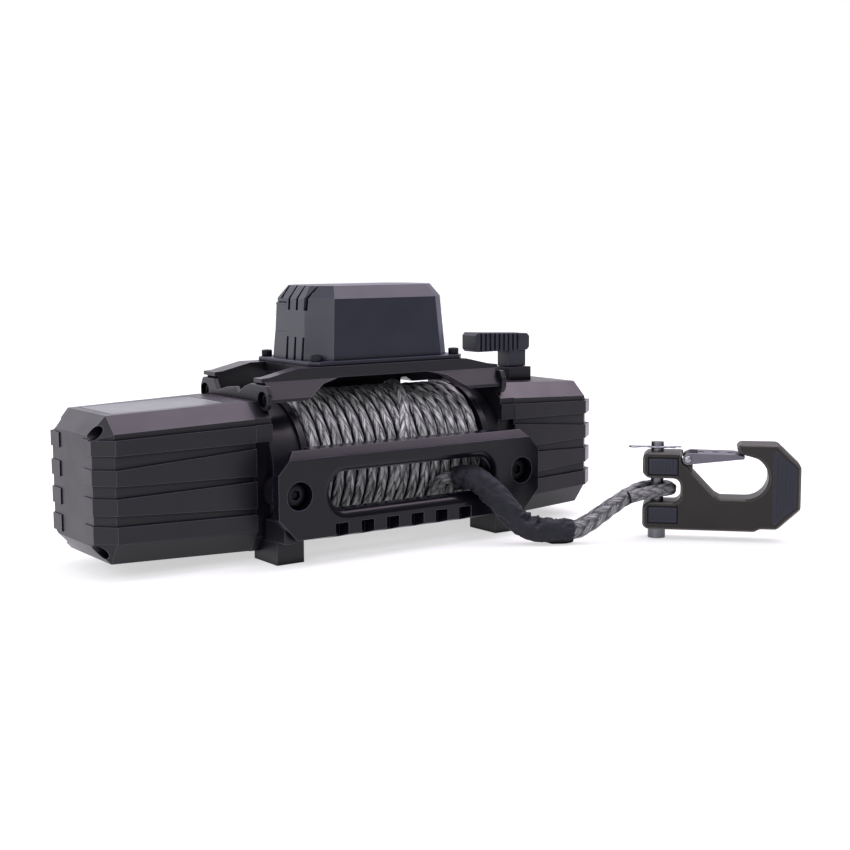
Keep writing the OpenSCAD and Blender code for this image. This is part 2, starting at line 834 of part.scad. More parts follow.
module planet_gear(k) {
    turn = 120 * k * (1 - ring_teeth / planet_teeth);
    color(steel) gear_axis(gear_d) rotate(120 * k) translate([planet_orbit, 0, 0])
        rotate(turn - 120 * k) difference() {
            linear_extrude(gear_w) gear_shape(planet_teeth);
            translate([0, 0, -over]) cylinder(h = gear_w + 2 * over, r = planet_pin_r + run_clear);
        }
}
module sun_gear() {
    color(steel) gear_axis(gear_d) difference() {
        union() {
            linear_extrude(ring_l - gear_d + over) gear_shape(sun_teeth);
            translate([0, 0, ring_l - gear_d + cartridge_gap / 2]) cylinder(h = sun_disc_t, r = sun_disc_r);
        }
        translate([0, 0, -over]) cylinder(h = ring_l + sun_disc_t, r = shaft_r + run_clear);
    }
}

// Drum and wound rope
module drum() {
    color(steel) at_axis() difference() {
        union() {
            x_rod(journal_x0, journal_x1, drum_r);
            x_rod(drum_x0, wind_x0, drum_flange_r);
            x_rod(wind_x1, drum_x1, drum_flange_r);
        }
        x_rod(journal_x0 - over, journal_x1 + over, drum_bore);
        translate([0, 0, drum_r + drum_wall]) x_rod(wind_x1 - over, drum_x1 + over, anchor_r);
    }
}
module rope_anchor_screw() {
    color(steel) at_axis() translate([0, 0, drum_r + drum_wall])
        x_rod(wind_x1 + fit, drum_x1, anchor_r - fit);
}
module rope_core() {
    color(rope_grey) at_axis()
        x_ring(wind_x0 + fit, wind_x1 - fit, rope_layer_r - lower_drop - rope_d / 2 - core_gap, drum_r + fit);
}

// Turns of rope: a helix from one tangent end, with both ends straight for one rope diameter
ring_step = 15;
lift_off = 136;
wind_side = 0.4;
outer_x = wind_x0 + rope_d / 2 + wind_side + outer_turns * rope_pitch;
lower_lag = 34;
core_gap = 1;
lower_x0 = outer_x + rope_pitch * lower_lag / 360;
function wound(x, a, r) = [x, -r * sin(a), axis_z + r * cos(a)];
function helix(x0, a0, turns, dir, r) = [for (i = [0 : turns * 360 / ring_step])
    wound(x0 + dir * rope_pitch * i * ring_step / 360, a0 - dir * i * ring_step, r)];
function with_ends(p) =
    let (n = len(p), a = unit(p[0] - p[1]), b = unit(p[n - 1] - p[n - 2]))
    concat([p[0] + rope_d * a], p, [p[n - 1] + rope_d * b]);
outer_layer = with_ends(helix(outer_x, lift_off, outer_turns, -1, rope_layer_r));
lower_layer = with_ends(helix(lower_x0, lift_off - lower_lag, lower_turns, 1, rope_layer_r - lower_drop));
function least_gap(p, q, skip) = min([for (i = [0 : len(p) - 1], j = [0 : len(q) - 1])
    if (skip == 0 || j - i > skip) norm(p[i] - q[j])]) - rope_d;
echo("least gap between turns of the outer layer", least_gap(outer_layer, outer_layer, 270 / ring_step));
echo("least gap between turns of the lower layer", least_gap(lower_layer, lower_layer, 270 / ring_step));
echo("least gap between the two layers", least_gap(outer_layer, lower_layer, 0));
module winding(p) {
    color(rope_grey) swept_tube(p, [for (q = p) rope_d / 2], 6, [1, 0, 0]);
}
module rope_outer_layer() {
    winding(outer_layer);
}
module rope_lower_turns() {
    winding(lower_layer);
}

// Bridge over the drum
module bridge() {
    end = plate_in + bridge_tip;
    half = [[end, pad_z], [end, pad_z + pad_t], [shoulder_x, bridge_z - shoulder_drop + over],
        [bridge_top_half, bridge_z]];
    right = concat([for (i = [3 : -1 : 0]) half[i]],
        [[plate_in, pad_z], [plate_in, leg_z], [plate_in - leg_w, leg_z]],
        [for (i = [1, 2]) [arch_x[i], arch_z[i]]]);
    left = [for (i = [len(right) - 1 : -1 : 0]) [-right[i][0], right[i][1]]];
    color(black) difference() {
        union() {
            intersection() {
                along_y(-foot_front, foot_front) polygon(concat(left, right));
                along_x(-support_x, support_x) polygon([
                    [-bridge_front_low, leg_z - over], [-bridge_front_low, bridge_knee_low],
                    [-bridge_front_high, bridge_knee_high], [-deck_front, bridge_z], [deck_rear, bridge_z],
                    [deck_rear, bridge_knee_high], [bridge_front_low, bridge_knee_low],
                    [bridge_front_low, leg_z - over]]);
            }
            block([-arch_x[0], arm_inner, skirt_z], [arch_x[0], deck_rear, bridge_z - over]);
        }
        block([-support_x, -arm_inner, leg_z - over], [support_x, arm_inner, bridge_z - deck_t]);
        block([-support_x, -arm_inner, leg_z], [box_x0 - plate_rim - notch_gap, arm_inner, bridge_z + over]);
        block([box_x0 + box_l + plate_rim + notch_gap, -arm_inner, leg_z],
            [support_x, arm_inner, bridge_z + over]);
        for (m = [0, 1], s = [-1, 1]) mirror([m, 0, 0]) translate([0, s * bridge_bolt_y, bridge_bolt_z])
            x_rod(plate_in - bridge_bolt_l, plate_in + over, bridge_bolt_r);
        box_corners() z_rod(bridge_z - box_bolt_l, bridge_z + over, box_bolt_r);
    }
}
module bridge_bolts() {
    seat = support_x - boss_bore_depth;
    color(steel) for (m = [0, 1]) mirror([m, 0, 0]) for (s = [-1, 1])
        translate([0, s * bridge_bolt_y, bridge_bolt_z]) {
            x_rod(plate_in - bridge_bolt_l + over, seat, bridge_bolt_r - fit);
            x_rod(seat, seat + boss_bore_depth / 2, boss_bore_r - 2 * fit);
        }
}

// Control box
function chamfered(x0, y0, x1, y1, c) = [[x0 + c, y0], [x1 - c, y0], [x1, y0 + c], [x1, y1 - c],
    [x1 - c, y1], [x0 + c, y1], [x0, y1 - c], [x0, y0 + c]];
function box_ring(inset, c) = chamfered(box_x0 + inset, box_y0 + inset,
    box_x0 + box_l - inset, box_y0 + box_w - inset, c);
module box_corners() {
    inset = box_bolt_in - plate_rim;
    for (x = [box_x0 + inset, box_x0 + box_l - inset], y = [box_y0 + inset, box_y0 + box_w - inset])
        translate([x, y, 0]) children();
}
module box_plate() {
    color(black) difference() {
        translate([0, 0, bridge_z]) linear_extrude(plate_t) polygon(box_ring(-plate_rim, plate_corner));
        box_corners() z_rod(bridge_z - over, box_z + over, box_bolt_r + fit);
    }
}
module box_form(inset) {
    hull() {
        translate([0, 0, box_z - (inset > 0 ? over : 0)]) linear_extrude(skin)
            polygon(box_ring(inset, box_corner));
        translate([0, 0, box_z + box_h - box_chamfer_z - inset / 2]) linear_extrude(skin)
            polygon(box_ring(inset + box_draft, box_corner));
        translate([0, 0, box_z + box_h - inset - skin]) linear_extrude(skin)
            polygon(box_ring(inset + box_draft + box_top_in - over, box_corner - box_draft));
    }
}
module fin_slot(z0, z1, reach) {
    translate([box_x0, 0, z0]) linear_extrude(z1 - z0) polygon([[-over, -fin_groove_w / 2],
        [reach, -fin_groove_floor / 2], [reach, fin_groove_floor / 2], [-over, fin_groove_w / 2]]);
}
module box_cover() {
    fin_reach = box_draft + box_top_in + fin_groove_d;
    color(satin) difference() {
        box_form(0);
        difference() {
            box_form(box_wall);
            block([box_x0, fin_y0 - fin_groove_w / 2 - box_wall, bridge_z],
                [box_x0 + fin_reach + box_wall, fin_y0 + (fin_grooves - 0.5) * fin_pitch, box_z + box_h]);
            block([box_x0, flap_y0 - 2 * box_wall, flap_z0 - box_wall], [flap_x + socket_l,
                flap_y0 + flap_w + 2 * box_wall, flap_z0 + flap_h + 2 * box_wall]);
        }
        for (i = [0 : fin_grooves - 1]) translate([0, fin_y0 + i * fin_pitch, 0]) {
            if (i < fin_grooves - 1) fin_slot(box_z - over, box_z + fin_low_share * box_h, fin_groove_d);
            fin_slot(box_z + fin_top_shares[i] * box_h, box_z + box_h - fin_groove_d, box_draft + box_top_in);
            fin_slot(box_z + box_h - fin_groove_d - over, box_z + box_h + over, fin_reach);
        }
        block([box_x0 - over, flap_y0 - seat_gap, flap_z0 - seat_gap],
            [flap_x, flap_y0 + flap_w + seat_gap, flap_z0 + flap_h + flap_knuckle_r + seat_gap]);
        flap_hinge() y_rod(flap_y0 - flap_pin_seat - fit, flap_y0 + flap_w + flap_pin_seat + fit,
            flap_pin_r + run_clear);
        translate([flap_x, flap_y0 + flap_w / 2, flap_z0 + flap_h / 2])
            x_rod(-over, socket_l + box_wall, socket_r + fit);
    }
}
module box_bolts() {
    color(steel) box_corners() {
        z_rod(bridge_z - box_bolt_l + over, box_z, box_bolt_r - fit);
        z_rod(box_z, box_z + box_bolt_head_h, box_bolt_head_r);
    }
}
module contactor() {
    c = [box_x0 + box_l / 2, box_y0 + box_w / 2, box_z] - [contactor_size[0], contactor_size[1], 0] / 2;
    color(black) translate(c) cube(contactor_size);
}
module contactor_studs() {
    color(brass) for (k = [0 : stud_count - 1])
        translate([box_x0 + box_l / 2 + (k - (stud_count - 1) / 2) * stud_pitch, box_y0 + box_w / 2, 0])
            z_rod(box_z + contactor_size[2], box_z + contactor_size[2] + stud_h, stud_r);
}
module remote_socket() {
    color(black) translate([flap_x, flap_y0 + flap_w / 2, flap_z0 + flap_h / 2])
        difference() {
            x_rod(0, socket_l, socket_r);
            x_rod(-over, socket_l - box_wall, socket_bore_r);
        }
}
module flap_hinge() {
    translate([flap_x - flap_knuckle_r - seat_gap, 0, flap_z0 + flap_h]) children();
}
function box_face_x(z) = box_x0 + box_draft * (z - box_z) / (box_h - box_chamfer_z);
module socket_flap() {
    back = flap_x - seat_gap;
    top = flap_z0 + flap_h;
    color(satin) difference() {
        union() {
            along_y(flap_y0, flap_y0 + flap_w) polygon([[back, flap_z0], [back, top],
                [box_face_x(top) + flap_sink, top], [box_face_x(flap_z0) + flap_sink, flap_z0]]);
            flap_hinge() y_rod(flap_y0, flap_y0 + flap_w, flap_knuckle_r - fit);
        }
        flap_hinge() y_rod(flap_y0 - over, flap_y0 + flap_w + over, flap_pin_r + run_clear);
    }
}
module flap_pin() {
    color(steel) flap_hinge() y_rod(flap_y0 - flap_pin_seat, flap_y0 + flap_w + flap_pin_seat, flap_pin_r);
}

// Fairlead
module slot_section() {
    difference() {
        square([slot_r + lip_r, fairlead_depth]);
        translate([slot_r, lip_r]) square([lip_r + over, fairlead_depth - 2 * lip_r]);
        for (y = [lip_r, fairlead_depth - lip_r]) translate([slot_r + lip_r, y]) circle(lip_r);
    }
}
module slot_cut() {
    translate([0, fair_front, fairlead_z]) {
        rotate([0, 90, 0]) linear_extrude(2 * slot_half, center = true) {
            slot_section();
            mirror([1, 0]) slot_section();
        }
        for (s = [-1, 1]) translate([s * slot_half, 0, 0])
            rotate([-90, 0, 0]) rotate_extrude() slot_section();
    }
}
module fairlead_outline() {
    x = fairlead_l / 2;
    z = fairlead_h / 2;
    polygon([[-x, -fair_corner_z], [-x, fair_corner_z], [-x + fair_corner_x, z], [x - fair_corner_x, z],
        [x, fair_corner_z], [x, -fair_corner_z], [x - fair_corner_x, -z], [-x + fair_corner_x, -z]]);
}
module fairlead() {
    web_y = fair_front + flange_t + fair_pad_t - fair_web;
    top = fairlead_z + fairlead_h / 2;
    color(black) difference() {
        union() {
            along_y(fair_front, fair_front + flange_t) translate([0, fairlead_z]) fairlead_outline();
            block([-fair_body_half, fair_front, fairlead_z - fairlead_h / 2],
                [fair_body_half, fair_front + fairlead_depth, top]);
            for (s = [-1, 1]) translate([s * fairlead_pitch / 2, 0, fairlead_z])
                y_rod(fair_front, fair_front + flange_t + fair_pad_t, fair_pad_r);
        }
        slot_cut();
        for (s = [-1, 1]) translate([s * fairlead_pitch / 2, 0, fairlead_z]) {
            y_rod(fair_front - over, web_y, counterbore_r);
            y_rod(fair_front - over, web_y + fair_web + over, fair_bolt_r + fit);
        }
        along_x(-fairlead_l, fairlead_l) polygon([[fair_front - over, top - fair_top_bevel],
            [fair_front + over, top - fair_top_bevel], [fair_front + fair_top_bevel, top + over],
            [fair_front - over, top + over]]);
        for (i = [0 : fin_count - 1]) translate([fin_x0 + i * fin_step, 0, fairlead_z - fairlead_h / 2])
            block([0, fair_front - over, -over],
                [fin_pocket_w, fair_front + fairlead_depth - fin_wall, fin_height]);
    }
}
module fairlead_bolts() {
    web_y = fair_front + flange_t + fair_pad_t - fair_web;
    color(steel) for (s = [-1, 1]) translate([s * fairlead_pitch / 2, 0, fairlead_z]) {
        y_rod(web_y - fair_head_h, web_y, fair_head_r);
        y_rod(web_y, web_y + fair_bolt_l, fair_bolt_r - fit);
    }
}

// Clutch lever
module clutch_block() {
    color(black) translate([lever_x, 0, 0]) difference() {
        block([-lever_block_x / 2, -lever_block_y / 2, lever_block_z0],
            [lever_block_x / 2, lever_block_y / 2, lever_block_z0 + lever_base_h]);
        z_rod(lever_block_z0 - over, lever_block_z0 + lever_base_h + over, clutch_shaft_r + run_clear);
    }
}
module clutch_lever() {
    stem_z = lever_block_z0 + lever_base_h + stem_gap;
    grip_z = stem_z + stem_h;
    x1 = grip_behind;
    x0 = x1 - grip_l;
    groove_pitch = (grip_l - 2 * grip_round - stem_x / 2) / grip_grooves;
    color(black) translate([lever_x, 0, 0]) difference() {
        union() {
            z_rod(axis_z + ring_r + seat_gap, stem_z + over, clutch_shaft_r);
            block([-stem_x / 2, -stem_y / 2, stem_z], [stem_x / 2, stem_y / 2, grip_z + over]);
            along_y(-grip_w / 2, grip_w / 2) polygon([[x0, grip_z + grip_round], [x0 + grip_round, grip_z],
                [x1 - grip_round, grip_z], [x1, grip_z + grip_round],
                [x1, grip_z + grip_h - grip_round - grip_taper],
                [x1 - grip_round, grip_z + grip_h - grip_taper],
                [x0 + grip_round, grip_z + grip_h], [x0, grip_z + grip_h - grip_round]]);
        }
        for (i = [0 : grip_grooves - 1], s = [-1, 1])
            translate([x0 + 2 * grip_round + i * groove_pitch, s * grip_w / 2, grip_z])
                block([0, -grip_groove_d, -over], [grip_groove_w, grip_groove_d, grip_h + over]);
    }
}

// Free rope and its sleeve
function widths(p, d0, d1) = [for (i = [0 : len(p) - 1]) (d0 + (d1 - d0) * i / (len(p) - 1)) / 2];
module rope_lead() {
    color(rope_grey) swept_tube(lead_route, widths(lead_route, rope_d, rope_d), 12, [0, 0, 1]);
}
module rope_sleeve() {
    color("#17171b") swept_tube(sleeve_route, widths(sleeve_route, sleeve_d, sleeve_d), 12, [0, 0, 1]);
}
module rope_tail() {
    color(rope_grey)
        swept_tube(tail_route, widths(tail_route, splice_d, tail_end_share * eye_rope_d), 12, [0, 0, 1]);
}
module rope_eye() {
    r = eye_rope_d / 2;
    bend = eye_inner + r;
    tail = [eye_tail_x, r + fit, -eye_tail_drop];
    mid = [eye_mid_x, bend - eye_mid_in, -eye_mid_drop];
    side = [for (p = [tail, mid]) [p[0], p[1], eye_z + p[2]]];
    loop = [for (a = [100 : -20 : -100]) [bend * cos(a), bend * sin(a), eye_z]];
    route = concat(side, loop, [for (i = [1, 0]) [side[i][0], -side[i][1], side[i][2]]]);
    color(rope_grey) translate([hook_x, hook_y, 0]) rotate(eye_turn)
        swept_tube(route, widths(route, eye_rope_d, eye_rope_d), 12, [0, 0, 1]);
}

// Hook
module in_hook() {
    translate([hook_x, hook_y, 0]) rotate(hook_turn) translate([-hook_back, 0, hook_z0]) children();
}
function rounded_throat() = concat(
    arc([throat_end - throat_round, throat_z[1] - throat_round], throat_round, 90, 0, 6),
    arc([throat_end - throat_round, throat_z[0] + throat_round], throat_round, 0, -90, 6));
function on_hook(shares) = [for (p = shares) [p[0] * hook_l, p[1] * hook_h]];
module hook_outline() {
    throat = rounded_throat();
    polygon(concat(on_hook(heel_shares), [[throat_lip, throat_z[0]]],
        [for (i = [len(throat) - 1 : -1 : 0]) throat[i]],
        [[throat_lip, throat_z[1]]], on_hook(crown_shares),
        arc([pivot_x, pivot_z], pivot_r + pivot_clear, pocket_arc[0], pocket_arc[1], 8),
        on_hook(bow_shares),
        arc([mouth_x, mouth_z], mouth_r, -90, 60, 12),
        on_hook(lip_shares), on_hook(nose_shares)));
}
module hook_neck() {
    difference() {
        union() {
            translate([pivot_x, pivot_z]) circle(pivot_r - neck_in);
            polygon([[pivot_x - pivot_r + neck_in, pivot_z],
                [pivot_x - pivot_r, pivot_z - neck_drop_shares[0] * pivot_r],
                [pivot_x + pivot_r, pivot_z - neck_drop_shares[1] * pivot_r],
                [pivot_x + pivot_r - neck_in, pivot_z]]);
        }
        translate([pivot_x, pivot_z]) circle(gate_pin_r + run_clear);
    }
}
module hook_body() {
    half = hook_t / 2;
    neck = half - cheek_t - pivot_clear;
    color("#3a3938") in_hook() difference() {
        union() {
            along_y(-half, half) hook_outline();
            for (m = [0, 1]) mirror([0, m, 0]) along_y(spring_w / 2 + seat_gap, neck) hook_neck();
        }
        translate([hook_back, 0, 0]) z_rod(-over, hook_h, hook_pin_r + run_clear);
        for (s = [-1, 1]) {
            y0 = s > 0 ? half - grip_depth : -half - over;
            along_y(y0, y0 + grip_depth + over) grip_places(fit);
        }
    }
}
module grip_places(grow) {
    for (i = [1, 2]) translate([grip_pad[0][0] - grow, grip_pad[i][0] - grow])
        square([grip_pad[0][1] - grip_pad[0][0] + 2 * grow, grip_pad[i][1] - grip_pad[i][0] + 2 * grow]);
    polygon(end_grip + grow * [[-1, 1], [1, 1], [1, -1], [-1, -1]]);
}
module hook_grips() {
    half = hook_t / 2;
    color("#1d1f2a") in_hook() for (m = [0, 1]) mirror([0, m, 0]) difference() {
        along_y(half - grip_depth, half + grip_out) grip_places(-fit);
        for (i = [1, 2], x = [grip_pad[0][0] + grip_rib_w : grip_rib_step : grip_pad[0][1] - grip_rib_w])
            block([x, half + grip_out - grip_rib_d, grip_pad[i][0] + grip_rib_w],
                [x + grip_rib_step / 2, half + grip_out + over, grip_pad[i][1] - grip_rib_w]);
    }
}
module hook_pin() {
    color(steel) translate([hook_x, hook_y, 0]) rotate(hook_turn) difference() {
        union() {
            z_rod(0, pin_head_h, pin_head_r);
            z_rod(0, pin_top, hook_pin_r);
        }
        translate([0, 0, clip_z]) x_rod(-pin_head_r, pin_head_r, clip_r + run_clear);
    }
}
module hook_clip() {
    color(steel) translate([hook_x, hook_y, clip_z]) rotate(hook_turn)
        x_rod(-clip_back, clip_l - clip_back, clip_r);
}
module gate_outline() {
    polygon(concat(arc([pivot_x, pivot_z], pivot_r, gate_arc[0], gate_arc[1], 10),
        [[gate_tip_x, gate_tip_z - gate_tip_t], [gate_tip_x + gate_tip_lean, gate_tip_z],
        [gate_high_x, gate_high_z], [pivot_x + gate_back_x, gate_high_z + gate_back_rise]]));
}
module hook_gate() {
    half = hook_t / 2;
    color("#8d8d97") in_hook() difference() {
        along_y(-half, half) gate_outline();
        difference() {
            along_y(-half + cheek_t, half - cheek_t) translate([0, -gate_skin]) square([hook_l, hook_h]);
            block([pivot_x + pivot_r + 2 * gate_skin, -half, gate_high_z - gate_roof],
                [hook_l, half, hook_h]);
        }
        translate([pivot_x, 0, pivot_z]) y_rod(-half - over, half + over, gate_pin_r + run_clear);
        for (i = [0 : gate_holes - 1]) translate([pivot_x + gate_hole_x0 + i * gate_hole_step, 0, 0])
            for (dx = [0, gate_hole_l - 2 * gate_hole_r])
                translate([dx, 0, 0]) z_rod(pivot_z, hook_h, gate_hole_r);
    }
}
module gate_pin() {
    half = hook_t / 2;
    color(steel) in_hook() translate([pivot_x, 0, pivot_z])
        y_rod(-half - pin_proud, half + pin_proud, gate_pin_r);
}
module gate_spring() {
    color(steel) in_hook() translate([pivot_x, 0, pivot_z]) difference() {
        union() {
            for (i = [0 : spring_turns - 1])
                translate([0, (i - (spring_turns - 1) / 2) * spring_pitch_share * spring_wire, 0])
                    y_rod(-spring_wire / 2, spring_wire / 2, spring_r);
            y_rod(-spring_w / 2, spring_w / 2, spring_r - spring_wire / 2);
            block([-spring_r, -spring_wire / 2, -spring_r], [-spring_r + spring_wire, spring_wire / 2, 0]);
        }
        y_rod(-hook_t, hook_t, gate_pin_r + run_clear);
    }
}

motor_support();
gearbox_support();
drum_bushings();
tie_rods();
motor_cover();
motor_cover_screws();
motor_can();
field_coils();
end_bell();
brush_ring();
armature();
commutator();
drive_shaft();
gearbox_cover();
gearbox_cover_screws();
ring_gear();
gear_cartridge();
planet_carrier();
planet_gear(0);  // planet_gear_1
planet_gear(1);  // planet_gear_2
planet_gear(2);  // planet_gear_3
sun_gear();
drum();
rope_core();
rope_outer_layer();
rope_lower_turns();
rope_anchor_screw();
bridge();
bridge_bolts();
box_plate();
box_cover();
box_bolts();
contactor();
contactor_studs();
remote_socket();
socket_flap();
flap_pin();
fairlead();
fairlead_bolts();
clutch_block();
clutch_lever();
rope_lead();
rope_sleeve();
rope_tail();
rope_eye();
hook_body();
hook_pin();
hook_clip();
hook_grips();
hook_gate();
gate_pin();
gate_spring();
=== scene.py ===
"""Looks of an electric recovery winch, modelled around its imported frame.

Every size is in metres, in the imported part's own frame: +X runs along the drum from the motor to the
gearbox, -Y faces the fairlead and +Z is up.
"""
import logging
import math
from dataclasses import dataclass, field, replace
from enum import Enum
from typing import Any, Callable, Sequence

import bmesh
import bpy
import numpy as np
from mathutils import Matrix, Vector, noise


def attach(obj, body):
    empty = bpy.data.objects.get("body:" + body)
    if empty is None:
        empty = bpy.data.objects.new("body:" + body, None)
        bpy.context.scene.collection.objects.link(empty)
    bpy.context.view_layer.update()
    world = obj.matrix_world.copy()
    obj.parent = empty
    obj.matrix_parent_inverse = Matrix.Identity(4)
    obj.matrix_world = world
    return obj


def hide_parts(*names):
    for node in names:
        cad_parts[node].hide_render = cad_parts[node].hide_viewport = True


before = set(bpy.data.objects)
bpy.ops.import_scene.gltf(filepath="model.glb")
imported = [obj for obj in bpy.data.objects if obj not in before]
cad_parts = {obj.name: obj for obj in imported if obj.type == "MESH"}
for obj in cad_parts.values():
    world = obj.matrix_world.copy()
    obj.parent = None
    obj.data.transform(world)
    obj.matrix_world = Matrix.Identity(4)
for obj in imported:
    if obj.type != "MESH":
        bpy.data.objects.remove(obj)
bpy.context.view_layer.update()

MM = 0.001
LOG = logging.getLogger("winch")
Point = tuple[float, float, float]
WHITE = (1.0, 1.0, 1.0, 1.0)
# Noise rarely leaves the middle of its range: between these values lies nearly all of a mottle
TONE_SPAN = (0.3, 0.7)
# How far a coat's roughness strays with its mottle
ROUGH_SPREAD = 0.05
# Share of open sky at which a groove's painted shade is darkest, and at which a face counts as open
SKY_SPAN = (0.42, 0.88)
# How well the rounded and the flat normal agree away from an edge and right on it
EDGE_SPAN = (0.995, 0.93)
# How much of the edge colour, a painted highlight that also stands for wear, shows right on an edge
EDGE_HIGHLIGHT_SHARE = 0.85
# Height of a strand of rope where it dives under another, as a share of its crown
STRAND_LOW = 0.35
# Tubes and ropes are shaded smooth up to this angle, and screws up to the next
TUBE_SMOOTH_DEG = 75.0
SCREW_SMOOTH_DEG = 25.0
# Samples between two points of a route, before its line is spaced evenly
ROUTE_SAMPLES = 24


def to_linear(code: str) -> tuple[float, float, float, float]:
    """Turn an sRGB hex colour into Blender's linear one.

    Args:
        code: The colour as "#rrggbb".

    Returns:
        Red, green, blue and an alpha of one.
    """
    parts = [int(code[i:i + 2], 16) / 255 for i in (1, 3, 5)]
    line = [c / 12.92 if c <= 0.04045 else ((c + 0.055) / 1.055) ** 2.4 for c in parts]
    return (line[0], line[1], line[2], 1.0)


def add_node(tree: bpy.types.NodeTree, kind: str, feeds: dict[Any, Any] | None = None,
             **settings: Any) -> bpy.types.Node:
    """Add a shader node with its settings, values and links.

    Args:
        tree: The node tree that takes the node.
        kind: The node's type name.
        feeds: Input name or number, to a value or to the socket that feeds it.
        settings: Properties of the node itself.

    Returns:
        The new node.
    """
    made = tree.nodes.new(kind)
    for name, value in settings.items():
        setattr(made, name, value)
    for key, value in (feeds or {}).items():
        if isinstance(value, bpy.types.NodeSocket):
            tree.links.new(value, made.inputs[key])
        else:
            made.inputs[key].default_value = value
    return made


def per_metre(size_mm: float) -> float:
    """Give the texture scale whose features are the given number of millimetres apart."""
    return 1.0 / (size_mm * MM)


def bands_per_metre(size_mm: float) -> float:
    """Give the wave texture's scale whose bands are the given number of millimetres apart."""
    return math.pi / 10 * per_metre(size_mm)


def new_material(name: str) -> tuple[bpy.types.Material, bpy.types.NodeTree]:
    """Start a node material that has no nodes yet, and give it with its tree."""
    made = bpy.data.materials.new(name)
    made.use_nodes = True
    made.node_tree.nodes.clear()
    return made, made.node_tree


def linked(name: str, mesh: bpy.types.Mesh) -> bpy.types.Object:
    """Give a mesh an object of its own in the scene."""
    made = bpy.data.objects.new(name, mesh)
    bpy.context.scene.collection.objects.link(made)
    return made


class Slot(Enum):
    """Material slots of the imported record."""

    CAST = "cast_black"
    BOX = "box_plastic"
    STEEL = "steel"
    BRONZE = "bronze"
    COPPER = "copper"
    ROPE = "rope"
    SLEEVE = "sleeve"
    HOOK = "hook_anodised"
    RUBBER = "hook_rubber"
    GATE = "gate_metal"


